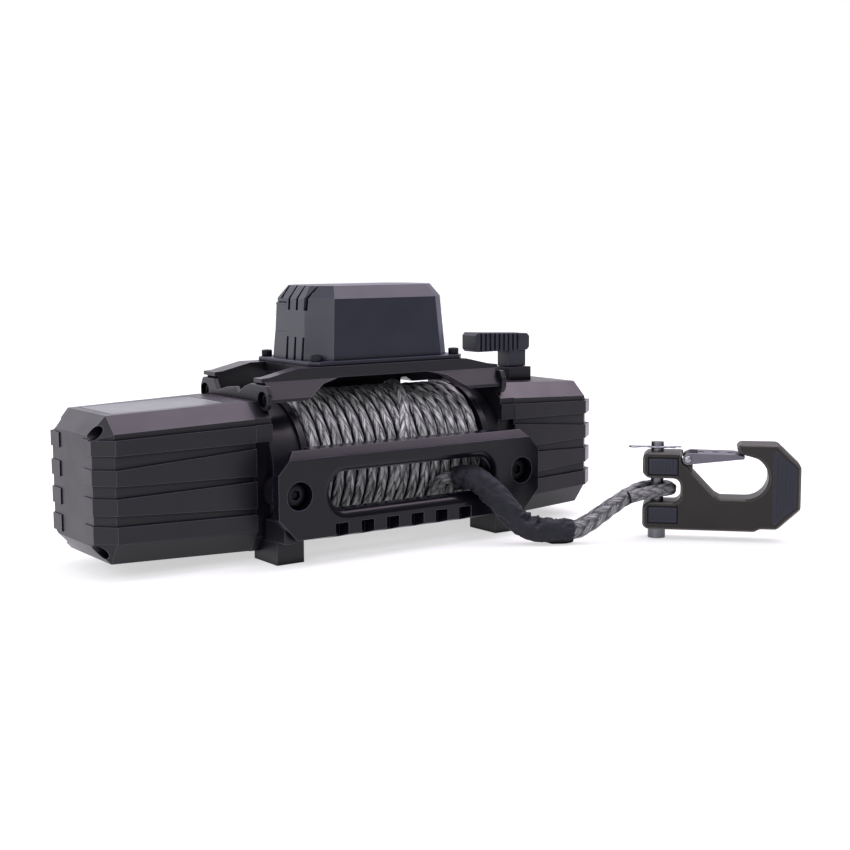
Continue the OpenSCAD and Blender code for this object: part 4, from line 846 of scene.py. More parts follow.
@dataclass(frozen=True)
class CapScrew:
    """A socket head cap screw: knurled head, hexagon socket, chamfered rims and a plain shank."""

    head_r: float
    head_h: float
    shank_r: float
    shank_l: float
    socket_share: float = 0.52
    socket_depth: float = 0.55
    chamfer_share: float = 0.06
    rim_share: float = 0.35
    knurl_gap: float = 0.03
    knurl_depth: float = 0.035

    def model(self, name: str) -> bpy.types.Object:
        """Model the screw standing on its head's underside at the origin, head up.

        Args:
            name: The piece's name.

        Returns:
            The screw, along +Z.
        """
        deselect()
        bpy.ops.mesh.primitive_cylinder_add(vertices=36, radius=self.head_r, depth=self.head_h,
                                            location=(0, 0, self.head_h / 2))
        head = bpy.context.object
        shape = edit(head)
        top = max(shape.faces, key=lambda f: f.calc_center_median().z)
        top.select = True
        bpy.ops.mesh.select_mode(type="FACE")
        wall = self.head_r * (1 - self.socket_share)
        bpy.ops.mesh.inset(thickness=wall * self.rim_share)
        bpy.ops.transform.translate(value=(0, 0, self.head_h * self.chamfer_share))
        bpy.ops.mesh.inset(thickness=wall * (1 - self.rim_share))
        shape = bmesh.from_edit_mesh(head.data)
        for vert in shape.verts:
            if vert.select:
                turn = math.atan2(vert.co.y, vert.co.x)
                corner = (turn + math.tau) % (math.tau / 6) - math.tau / 12
                flat = self.head_r * self.socket_share * math.cos(math.tau / 12)
                vert.co.x, vert.co.y = (flat / math.cos(corner) * math.cos(turn),
                                        flat / math.cos(corner) * math.sin(turn))
        bmesh.update_edit_mesh(head.data)
        bpy.ops.mesh.extrude_region_move(
            TRANSFORM_OT_translate={"value": (0, 0, -self.head_h * self.socket_depth)})
        shape = bmesh.from_edit_mesh(head.data)
        bpy.ops.mesh.select_mode(type="EDGE")
        bpy.ops.mesh.select_all(action="DESELECT")
        for edge in shape.edges:
            mid = (edge.verts[0].co + edge.verts[1].co) / 2
            outer = all(math.hypot(v.co.x, v.co.y) > self.head_r * 0.98 for v in edge.verts)
            if outer and mid.z < 1e-6:
                edge.select = True
        bpy.ops.mesh.bevel(offset=self.head_h * self.chamfer_share, segments=1, affect="EDGES")
        self.knurl(head)
        bpy.ops.object.mode_set(mode="OBJECT")
        bpy.ops.mesh.primitive_cylinder_add(vertices=24, radius=self.shank_r, depth=self.shank_l,
                                            location=(0, 0, -self.shank_l / 2))
        return settle(join([head, bpy.context.object], name), SCREW_SMOOTH_DEG)

    def knurl(self, head: bpy.types.Object) -> None:
        """Cut the straight knurl round the head's side.

        Args:
            head: The head, open in edit mode.
        """
        shape = bmesh.from_edit_mesh(head.data)
        for face in shape.faces:
            face.select = False
        bpy.ops.mesh.select_mode(type="FACE")
        for face in shape.faces:
            middle = face.calc_center_median()
            face.select = abs(face.normal.z) < 0.3 and math.hypot(middle.x, middle.y) > self.head_r * 0.9
        bmesh.update_edit_mesh(head.data)
        bpy.ops.mesh.inset(thickness=self.head_r * self.knurl_gap, use_individual=True)
        bpy.ops.transform.shrink_fatten(value=-self.head_r * self.knurl_depth)

    def place(self, bench: "Bench", name: str, spots: Sequence[Matrix], finish: Finish, body: str,
              replaced: Sequence[str]) -> bpy.types.Object:
        """Model one screw, copy it to every spot and dress the whole.

        Args:
            bench: The bench that dresses it.
            name: The piece's name.
            spots: Where each screw goes.
            finish: The screws' surface.
            body: The body that they ride on.
            replaced: The CAD nodes that they stand for.

        Returns:
            The piece with every screw.
        """
        one = self.model(name)
        made = join([copy_of(one, spot) for spot in spots], name + "_set")
        bpy.data.objects.remove(one)
        made.name = made.data.name = name
        return bench.dress(settle(made, SCREW_SMOOTH_DEG), finish, body, replaced)


def facing(spot: Point, way: str, turn: float = 0.0) -> Matrix:
    """Place something that was modelled along +Z.

    Args:
        spot: Where its origin goes, in metres.
        way: The direction that its +Z points in, such as "-X".
        turn: A turn about its own axis, in radians.

    Returns:
        The matrix that puts it there.
    """
    axis = Vector([(way[1] == k) * (1 if way[0] == "+" else -1) for k in "XYZ"])
    tilt = Vector((0, 0, 1)).rotation_difference(axis).to_matrix().to_4x4()
    return Matrix.Translation(spot) @ tilt @ Matrix.Rotation(turn, 4, "Z")


def wire(name: str, line: np.ndarray, radius: float, up: Point, around: int = 16) -> bpy.types.Object:
    """Bend a round wire along a line.

    Args:
        name: The piece's name.
        line: The wire's centre line, evenly spaced.
        radius: The wire's radius.
        up: A direction that the wire never runs along.
        around: How many faces go round.

    Returns:
        The wire, with both ends capped.
    """
    along, side, lift = rings(line, np.array(up, float))
    _, out = round_about(around, side, lift)
    points = line[:, None, :] + radius * out

    def place(ring: np.ndarray, spot: np.ndarray) -> np.ndarray:
        """Give a corner's place round and along the wire, in metres."""
        return np.stack([spot * radius * math.tau / around, along[ring]], axis=1)

    return tube_mesh(name, points, place, "wire")


def turned(name: str, profile: Sequence[tuple[float, float]], steps: int = 40) -> bpy.types.Object:
    """Turn a profile about the Z axis, as on a lathe.

    Args:
        name: The piece's name.
        profile: Radius and height of each corner, in metres, from one end of the axis to the other.
        steps: How many faces go round.

    Returns:
        The turned piece.
    """
    mesh = bpy.data.meshes.new(name)
    mesh.from_pydata([(r, 0.0, z) for r, z in profile], [(i, i + 1) for i in range(len(profile) - 1)], [])
    made = linked(name, mesh)
    edit(made)
    bpy.ops.mesh.select_all(action="SELECT")
    bpy.ops.mesh.spin(steps=steps, angle=math.tau, center=(0, 0, 0), axis=(0, 0, 1))
    return settle(outward(made))


def slab(name: str, low: Point, high: Point, round_m: float, segments: int = 2) -> bpy.types.Object:
    """Model a block whose edges are all rounded.

    Args:
        name: The piece's name.
        low: Its lowest corner.
        high: Its highest corner.
        round_m: How wide the rounding is.
        segments: How many faces go round an edge.

    Returns:
        The block, still to be settled.
    """
    deselect()
    bpy.ops.mesh.primitive_cube_add(size=1.0)
    made = bpy.context.object
    made.name = name
    edit(made)
    bpy.ops.mesh.select_all(action="SELECT")
    bpy.ops.transform.resize(value=tuple(b - a for a, b in zip(low, high)))
    bpy.ops.transform.translate(value=tuple((a + b) / 2 for a, b in zip(low, high)))
    bpy.ops.mesh.bevel(offset=round_m, segments=segments, affect="EDGES")
    bpy.ops.object.mode_set(mode="OBJECT")
    return made


def prism(name: str, corners: Sequence[Point], push: Point, round_m: float, segments: int
          ) -> bpy.types.Object:
    """Push a flat outline out into a prism whose edges are all rounded.

    Args:
        name: The piece's name.
        corners: The outline, in order.
        push: How far its second end lies from the outline, and which way.
        round_m: How wide the rounding is.
        segments: How many faces go round an edge.

    Returns:
        The prism, still to be settled.
    """
    mesh = bpy.data.meshes.new(name)
    mesh.from_pydata(list(corners), [], [list(range(len(corners)))])
    made = linked(name, mesh)
    edit(made)
    bpy.ops.mesh.select_all(action="SELECT")
    bpy.ops.mesh.extrude_region_move(TRANSFORM_OT_translate={"value": push})
    bpy.ops.mesh.select_all(action="SELECT")
    bpy.ops.mesh.normals_make_consistent(inside=False)
    bpy.ops.mesh.bevel(offset=round_m, segments=segments, affect="EDGES")
    bpy.ops.object.mode_set(mode="OBJECT")
    return made


@dataclass
class Castings:
    """Housings, bridge, fairlead and lever: cast or moulded bodies with rounded edges.

    Widths of rounding are in millimetres. The rest is in metres, and a lug or a bore is placed by its
    distance from the winch's middle to the side, to the front and up.
    """

    cast_round: float = 1.0
    cover_round: float = 0.8
    fairlead_round: float = 1.4
    small_round: float = 0.7
    cover_ends: tuple[float, float] = (-296.5 * MM, 250 * MM)
    band_out: float = 0.42
    seat_end: float = 216 * MM
    end_reach: float = 12.5 * MM
    band_reach: float = 1.7
    pocket_wall: tuple[float, float] = (-87 * MM, 26 * MM)
    wall_drop: float = 4.5 * MM
    apron: tuple[Point, Point] = ((-91 * MM, 54 * MM, 138 * MM), (91 * MM, 60.6 * MM, 153 * MM))
    apron_round: float = 1.5 * MM
    web: tuple[Point, Point] = ((127 * MM, -95 * MM, 21 * MM), (139 * MM, -58 * MM, 40 * MM))
    web_round: float = 1.2 * MM
    crown_cut: float = 145.95 * MM
    crown_x: float = 132.2 * MM
    crown_thick: float = 5.3 * MM
    crown_round: float = 1.1 * MM
    bore: Point = (138.4 * MM, 56 * MM, 148 * MM)
    bore_r: float = 7.6 * MM
    bore_deep: float = 12 * MM
    bore_tall: float = 1.15

    def build(self, bench: Bench) -> None:
        """Round and dress every housing.

        Args:
            bench: The bench that dresses the pieces.
        """
        rows = [
            ("motor_support", "motor_end_casting", self.cast_round, POWDER_COAT, "chassis",
             self.without_crown),
            ("gearbox_support", "gearbox_end_casting", self.cast_round, POWDER_COAT, "chassis",
             self.without_crown),
            ("motor_cover", "motor_housing_cover", self.cover_round, POWDER_COAT, "chassis",
             self.flatter_bands),
            ("gearbox_cover", "gearbox_housing_cover", self.cover_round, POWDER_COAT, "chassis",
             self.longer_end),
            ("bridge", "control_box_bridge", self.cast_round, POWDER_COAT, "chassis", None),
            ("fairlead", "hawse_fairlead", self.fairlead_round, FAIRLEAD_COAT, "chassis", self.lower_wall),
            ("clutch_block", "clutch_lever_seat", self.small_round, POWDER_COAT, "chassis", None),
            ("clutch_lever", "clutch_lever_grip", self.small_round, MOULDED_NYLON, "clutch", None),
            ("box_cover", "control_box_cover", self.cast_round, MOULDED_NYLON, "chassis", None),
            ("box_plate", "control_box_base", self.small_round, MOULDED_NYLON, "chassis", None),
            ("socket_flap", "remote_socket_cap", self.small_round, MOULDED_NYLON, "flap", None)]
        for node, name, width, finish, body, shape_it in rows:
            bench.dress(softened(node, name, width, shape_it=shape_it), finish, body, [node])
        self.crowns(bench)
        apron = slab("bridge_rear_apron", *self.apron, self.apron_round)
        bench.dress(crisp(settle(apron)), POWDER_COAT, "chassis")
        (near, front, low), (far, rear, high) = self.web
        webs = [slab("web", (min(side * near, side * far), front, low),
                     (max(side * near, side * far), rear, high), self.web_round) for side in (-1, 1)]
        bench.dress(crisp(settle(join(webs, "fairlead_lower_webs"))), POWDER_COAT, "chassis")

    def flatter_bands(self, shape: bmesh.types.BMesh) -> None:
        """Let the raised bands stand out less where they wrap onto a cover's end face."""
        for vert in shape.verts:
            for end in self.cover_ends:
                beyond = vert.co.x - end
                if beyond * end > 0:
                    vert.co.x = end + beyond * self.band_out

    def longer_end(self, shape: bmesh.types.BMesh) -> None:
        """Let the gearbox cover's end, beyond the lever's seat, reach as far as the photograph shows."""
        for vert in shape.verts:
            if vert.co.x > self.seat_end:
                beyond = max(vert.co.x - self.cover_ends[1], 0)
                vert.co.x += self.end_reach + (self.band_reach - 1) * beyond

    def lower_wall(self, shape: bmesh.types.BMesh) -> None:
        """Let the wall behind the fairlead's bottom pockets reach a little lower, as a cast draft does."""
        front, top = self.pocket_wall
        for vert in shape.verts:
            if vert.co.y > front and vert.co.z < top:
                vert.co.z -= self.wall_drop

    def without_crown(self, shape: bmesh.types.BMesh) -> None:
        """Cut a support level at the cover's top, where its crown is set in as a piece of its own."""
        geometry = shape.verts[:] + shape.edges[:] + shape.faces[:]
        cut = bmesh.ops.bisect_plane(shape, geom=geometry, plane_co=(0, 0, self.crown_cut),
                                     plane_no=(0, 0, 1), clear_outer=True)
        edges = [e for e in cut["geom_cut"] if isinstance(e, bmesh.types.BMEdge)]
        bmesh.ops.edgeloop_fill(shape, edges=edges)

    def crowns(self, bench: Bench) -> None:
        """Model the notched crown with its two bolt lugs on each support's inner edge.

        Args:
            bench: The bench that dresses the pieces.
        """
        lug = [(-43, 143.5), (-49, 139), (-56, 137.3), (-62.5, 139.2), (-65.5, 144), (-65.5, 152.5),
               (-61, 160.8)]
        notch = [(-34, 161.5), (-22, 158), (-9.5, 151.5), (-5, 156.5), (12, 155), (31, 150.5), (38, 160.8)]
        outline = lug + notch + [(-y, z) for y, z in reversed(lug)]
        x, y, z = self.bore
        for side, name in ((-1, "motor_end_crown"), (1, "gearbox_end_crown")):
            made = prism(name, [(side * self.crown_x, a * MM, b * MM) for a, b in outline],
                         (side * self.crown_thick, 0, 0), self.crown_round, 2)
            for hand in (-1, 1):
                deselect()
                bpy.ops.mesh.primitive_cylinder_add(vertices=40, radius=self.bore_r, depth=self.bore_deep,
                                                    location=(side * x, hand * y, z),
                                                    rotation=(0, math.pi / 2, 0))
                drill = bpy.context.object
                drill.scale.y = self.bore_tall
                cut = made.modifiers.new("bore", "BOOLEAN")
                cut.object, cut.operation, cut.solver = drill, "DIFFERENCE", "EXACT"
                activate(made)
                bpy.ops.object.modifier_apply(modifier=cut.name)
                bpy.data.objects.remove(drill)
            bench.dress(crisp(settle(made)), POWDER_COAT, "chassis")


@dataclass
class Fasteners:
    """Every screw that shows: cap screws with knurled heads, in the sizes of the winch.

    Each kind stands turned by its own angle, so that no two of its sockets line up.
    """

    box: CapScrew = CapScrew(5 * MM, 6 * MM, 2.9 * MM, 15 * MM)
    bridge: CapScrew = CapScrew(6.6 * MM, 1.6 * MM, 3.9 * MM, 26 * MM)
    fairlead: CapScrew = CapScrew(10 * MM, 5 * MM, 5.9 * MM, 34 * MM)
    cover: CapScrew = CapScrew(5 * MM, 5 * MM, 2.9 * MM, 100 * MM)
    box_x: tuple[float, float] = (-70 * MM, 90 * MM)
    box_y: tuple[float, float] = (-39.3 * MM, 53.7 * MM)
    box_z: float = 178 * MM
    bridge_at: Point = (132.4 * MM, 56 * MM, 148 * MM)
    fairlead_at: Point = (127 * MM, -89.4 * MM, 65 * MM)
    cover_y: float = 41.7 * MM
    cover_z: tuple[float, float] = (25 * MM, 127.8 * MM)
    cover_rows: tuple[tuple[str, float, float, str], ...] = (("-X", -276.5 * MM, 139 * MM, "motor"),
                                                             ("+X", 242.5 * MM, 105.5 * MM, "gearbox"))

    def build(self, bench: Bench) -> None:
        """Model each kind of screw once and put its copies where the CAD has them.

        Args:
            bench: The bench that dresses the pieces.
        """
        spots = [facing((x, y, self.box_z), "+Z", 0.4 + 5 * x) for x in self.box_x for y in self.box_y]
        self.box.place(bench, "box_cap_screws", spots, BLACK_OXIDE, "chassis", ["box_bolts"])
        x, y, z = self.bridge_at
        spots = [facing((side * x, hand * y, z), "+X" if side > 0 else "-X", hand * 0.3)
                 for side in (-1, 1) for hand in (-1, 1)]
        self.bridge.place(bench, "bridge_cap_screws", spots, BLACK_OXIDE, "chassis", ["bridge_bolts"])
        x, y, z = self.fairlead_at
        spots = [facing((side * x, y, z), "-Y", 0.35 * side) for side in (-1, 1)]
        self.fairlead.place(bench, "fairlead_cap_screws", spots, BLACK_OXIDE, "chassis", ["fairlead_bolts"])
        for way, seat, length, cover in self.cover_rows:
            screw = replace(self.cover, shank_l=length)
            spots = [facing((seat, hand * self.cover_y, z), way, hand * z * 9)
                     for hand in (-1, 1) for z in self.cover_z]
            screw.place(bench, f"{cover}_cover_cap_screws", spots, BLACK_OXIDE, "chassis",
                        [f"{cover}_cover_screws"])


@dataclass(frozen=True)
class Turns:
    """Turns of rope on the drum: a helix with a straight lead and a dive into the layer below.

    They start at start_x, start_deg round from the top, and wind towards +X or -X as way says.
    """

    start_x: float
    start_deg: float
    turns: float
    way: int
    radius: float
    lead: float = 11.8 * MM
    dive_deg: float = 50.0
    dive: float = 7.0 * MM
    pitch: float = 12.3 * MM
    axis_z: float = 78 * MM
    samples: int = 90

    def spot(self, turn: np.ndarray, radius: np.ndarray) -> np.ndarray:
        """Give points of the helix, a number of turns from its start."""
        angle = np.radians(self.start_deg) - self.way * math.tau * turn
        stay = np.minimum(turn, self.turns)
        return np.stack([self.start_x + self.way * self.pitch * stay, -radius * np.sin(angle),
                         self.axis_z + radius * np.cos(angle)], axis=1)

    def line(self, step: float) -> tuple[np.ndarray, np.ndarray]:
        """Give the rope's centre line and the outward direction at each point.

        Args:
            step: The distance between the points.

        Returns:
            The points and the directions.
        """
        extra = self.dive_deg / 360
        turn = np.linspace(0, self.turns + extra, int((self.turns + extra) * self.samples))
        sink = np.clip((turn - self.turns) / extra, 0, 1)
        coil = self.spot(turn, self.radius - self.dive * sink ** 2)
        ahead = (coil[0] - coil[1]) / np.linalg.norm(coil[0] - coil[1])
        lead = coil[0] + ahead * np.linspace(self.lead, 0, 8, endpoint=False)[:, None]
        line = evenly(np.vstack([lead, coil]), step)
        return line, self.outward(line)

    def outward(self, line: np.ndarray) -> np.ndarray:
        """Give the direction from the drum's axis to each point of a line."""
        out = line - np.array([0, 0, self.axis_z])
        out[:, 0] = 0
        return out


@dataclass
class WoundRope:
    """The rope on the drum: an outer layer, the turns below it at the right and the hidden core."""

    outer: Turns = Turns(46.2 * MM, 136.0, 11.0, -1, 65 * MM)
    lower: Turns = Turns(47.36 * MM, 102.0, 4.5, 1, 64 * MM, dive=5 * MM)
    hidden: Turns = Turns(-89.2 * MM, 40.0, 15.6, 1, 51.0 * MM, dive=2 * MM)
    radius: float = 5.8 * MM
    lay: Lay = Lay()
    plain_lay: Lay = Lay(relief=0.8 * MM, around=18, step=3.6 * MM)
    ride_deg: tuple[float, float] = (-44, 112)
    ride_dive_deg: float = 26
    ride_r: float = 68.9
    ride_dive: float = 8.0
    ride_x: float = 44.0
    ride_over: float = 30.0
    ride_over_deg: float = 62

    def build(self, bench: Bench) -> None:
        """Wind the three layers.

        Args:
            bench: The bench that dresses the pieces.
        """
        for name, turns, lay, node in (("rope_top_layer", self.outer, self.lay, "rope_outer_layer"),
                                       ("rope_second_layer", self.lower, self.lay, "rope_lower_turns"),
                                       ("rope_inner_layers", self.hidden, self.plain_lay, "rope_core")):
            line, out = turns.line(lay.step)
            made = lay.tube(name, line, np.full(len(line), self.radius), out)
            bench.dress(made, GREY_ROPE, "drum", [node])
        line, out = self.riding_turn(self.lay.step)
        made = self.lay.tube("rope_riding_turn", line, np.full(len(line), self.radius), out)
        bench.dress(made, GREY_ROPE, "drum")

    def riding_turn(self, step: float) -> tuple[np.ndarray, np.ndarray]:
        """Give the turn that crosses over its neighbours and dives between them at both ends.

        Its sizes are in millimetres, and its places round the drum in degrees from the top.

        Args:
            step: The distance between the points.

        Returns:
            The points and the outward directions.
        """
        first, last = self.ride_deg
        deg = np.linspace(first, last, 160)
        painted_shade = (np.clip((first + self.ride_dive_deg - deg) / self.ride_dive_deg, 0, 1) ** 2
                + np.clip((deg - last + self.ride_dive_deg) / self.ride_dive_deg, 0, 1) ** 2)
        angle, radius = np.radians(deg), (self.ride_r - self.ride_dive * painted_shade) * MM
        over = self.ride_over * np.clip(deg / self.ride_over_deg, -0.5, 1.4)
        line = np.stack([(self.ride_x - over) * MM, -radius * np.sin(angle),
                         self.outer.axis_z + radius * np.cos(angle)], axis=1)
        line = evenly(line, step)
        return line, self.outer.outward(line)


@dataclass
class FreeRope:
    """The rope between drum and hook: its run, the cloth sleeve over it and the spliced eye.

    The three parts of its route are in millimetres.
    """

    lead: tuple[Point, ...] = ((46.8, -57.5, 43.2), (48, -67, 52.3), (50, -76, 60.4), (55, -79.4, 61))
    sleeve: tuple[Point, ...] = ((57.5, -81.4, 61.2), (61, -85, 61.8), (66, -92, 62.2), (73, -104, 58.5),
                                 (81, -116, 48), (89, -126, 35), (98, -134, 22), (109, -143, 14.5),
                                 (124, -153, 12.5), (141, -162, 12.5))
    tail: tuple[Point, ...] = ((152, -168, 17), (164, -174, 25.5), (177, -179, 34.5), (192, -182.8, 42.5))
    exit: Point = (50 * MM, -76 * MM, 60.4 * MM)
    sleeve_r: float = 11.6 * MM
    pin_at: Point = (228 * MM, -188.4 * MM, 48.5 * MM)
    eye_turn: float = -9.0
    eye_r: float = 6.0 * MM
    eye_bend: float = 12.8
    cloth: float = 0.5 * MM
    clear_of_floor: float = 0.4 * MM

    def run(self, bench: Bench) -> tuple[bpy.types.Object, np.ndarray]:
        """Braid the rope from the drum to its splice.

        Args:
            bench: The bench that dresses the piece.

        Returns:
            The rope and its centre line.
        """
        lay = Lay(cell=14.0 * MM)
        line = smooth_route(np.array(self.lead + self.sleeve + self.tail) * MM, lay.step)
        along = run_of(line)
        splice = along[np.argmin(np.linalg.norm(line - np.array(self.sleeve[-1]) * MM, axis=1))]
        radius = np.interp(along, [0, 0.04, splice - 0.02, splice - 0.004, along[-1]],
                           [5.7 * MM, 5.5 * MM, 6.0 * MM, 9.4 * MM, 7.9 * MM])
        made = lay.tube("rope_run", line, radius, np.array([0.0, 0.0, 1.0]))
        bench.dress(made, HANDLED_ROPE, "chassis", ["rope_lead", "rope_tail"])
        return made, line

    def cover(self, bench: Bench) -> bpy.types.Object:
        """Make the woven sleeve: creased where it bends, gathered at its ends and turned in.

        Args:
            bench: The bench that dresses the piece.

        Returns:
            The sleeve.
        """
        around, step = 72, 1.1 * MM
        line = smooth_route(np.array(self.sleeve) * MM, step)
        along, side, lift = rings(line, np.array([0.0, 0.0, 1.0]))
        turn, out = round_about(around, side, lift)
        ahead = np.gradient(line, axis=0)
        ahead /= np.linalg.norm(ahead, axis=1, keepdims=True)
        bend = np.gradient(ahead, axis=0) / step
        inner = np.clip(np.einsum("ijk,ik->ij", out, bend) / 18.0, 0, 1)
        ends = np.exp(-along / (5 * MM)) + np.exp(-(along[-1] - along) / (5 * MM))
        far = self.sleeve_r + MM * self.folds(along[:, None] / MM, turn[None, :], inner)
        far += MM * (0.4 * np.sin(11 * turn)[None, :] * ends[:, None] - 1.6 * ends[:, None] ** 2)
        far += MM * np.array([[self.crumple(t, run) for t in turn] for run in along / MM])
        points = line[:, None, :] + far[..., None] * out
        points[..., 2] = np.maximum(points[..., 2], self.clear_of_floor)
        first = [line[0] + (points[0] - line[0]) * s + ahead[0] * d * MM
                 for s, d in ((0.62, 5.0), (0.72, 1.5), (0.9, 0.2))]
        last = [line[-1] + (points[-1] - line[-1]) * s - ahead[-1] * d * MM
                for s, d in ((0.97, -0.1), (0.93, 0.6), (0.9, 3.0), (0.88, 6.0))]
        points = np.concatenate([np.array(first), points, np.array(last)])
        at = np.concatenate([along[0] - np.array([6.0, 3.0, 1.0]) * MM, along,
                             along[-1] + np.array([1.0, 2.0, 4.0, 7.0]) * MM])

        def place(ring: np.ndarray, spot: np.ndarray) -> np.ndarray:
            """Give a corner's place on the cloth, in metres."""
            return np.stack([spot * self.sleeve_r * math.tau / around, at[ring]], axis=1)

        made = tube_mesh("rope_sleeve_cloth", points, place, "cloth")
        edit(made)
        bpy.ops.mesh.select_mode(type="FACE")
        shape = bmesh.from_edit_mesh(made.data)
        for face in shape.faces:
            face.select = len(face.verts) > 4
        bmesh.update_edit_mesh(made.data)
        bpy.ops.mesh.delete(type="ONLY_FACE")
        bpy.ops.object.mode_set(mode="OBJECT")
        wall = made.modifiers.new("cloth_wall", "SOLIDIFY")
        wall.thickness, wall.offset = self.cloth, -1.0
        activate(made)
        bpy.ops.object.modifier_apply(modifier=wall.name)
        return bench.dress(made, NYLON_CLOTH, "chassis", ["rope_sleeve"])

    @staticmethod
    def folds(run: np.ndarray, turn: np.ndarray, inner: np.ndarray) -> np.ndarray:
        """Give how far the cloth stands out in soft waves, and in creases inside its bends.

        Args:
            run: Where along the sleeve, in millimetres.
            turn: Where round it, in radians.
            inner: How much a place lies inside a bend, from 0 to 1.

        Returns:
            The cloth's distance from a plain tube, in millimetres.
        """
        wave = (0.5 * np.sin(3 * turn + run / 11.0) + 0.45 * np.sin(5 * turn - run / 7.0 + 1.0)
                + 0.5 * np.abs(np.sin(run / 6.1 + 2 * turn + 0.8 * np.sin(run / 13.0)))
                + 0.4 * np.abs(np.sin(run / 3.7 - 3 * turn + 1.3 * np.cos(run / 9.0))) - 0.5)
        crease = (np.sin(run / 2.1 + 1.6 * np.sin(3 * turn))
                  + 0.5 * np.sin(run / 0.95 + 2.0 * np.cos(2 * turn)))
        return 1.05 * wave - 0.7 * inner + inner * crease

    @staticmethod
    def crumple(turn: float, run: float) -> float:
        """Give how far the cloth stands out in sharp folds.

        Args:
            turn: Where round the sleeve, in radians.
            run: Where along it, in millimetres.

        Returns:
            The cloth's distance from a plain tube, in millimetres.
        """
        spot = Vector((1.5 * math.cos(turn) + run / 26, 1.5 * math.sin(turn), run / 10))
        return 2.2 * (0.36 - abs(noise.noise(spot))) + 1.2 * (0.27 - abs(noise.noise(spot * 2.3)))

    def eye(self, bench: Bench) -> bpy.types.Object:
        """Braid the eye round the hook's pin.

        Args:
            bench: The bench that dresses the piece.

        Returns:
            The eye.
        """
        bend = self.eye_bend
        turn = np.radians(np.arange(100, -101, -20))
        loop = [(bend * math.cos(t), bend * math.sin(t), 0.0) for t in turn]
        legs = [(-36, 5.6, -5.8), (-26, 7.8, -3.4), (-15, bend - 1.6, -1.0)]
        route = np.array(legs + loop + [(x, -y, z) for x, y, z in reversed(legs)]) * MM
        tilt = Matrix.Rotation(math.radians(self.eye_turn), 3, "Z")
        line = smooth_route(route @ np.array(tilt).T + np.array(self.pin_at), 1.5 * MM)
        lay = Lay(cell=13.0 * MM, relief=1.0 * MM, around=30, step=1.5 * MM)
        made = lay.tube("rope_eye_splice", line, np.full(len(line), self.eye_r), np.array([0.0, 0.0, 1.0]))
        return bench.dress(made, HANDLED_ROPE, "chassis", ["rope_eye"])

    def build(self, bench: Bench) -> tuple[bpy.types.Object, np.ndarray, list[bpy.types.Object]]:
        """Make the three pieces.

        Args:
            bench: The bench that dresses them.

        Returns:
            The rope, its line and the pieces on it.
        """
        made, line = self.run(bench)
        return made, line, [self.cover(bench), self.eye(bench)]


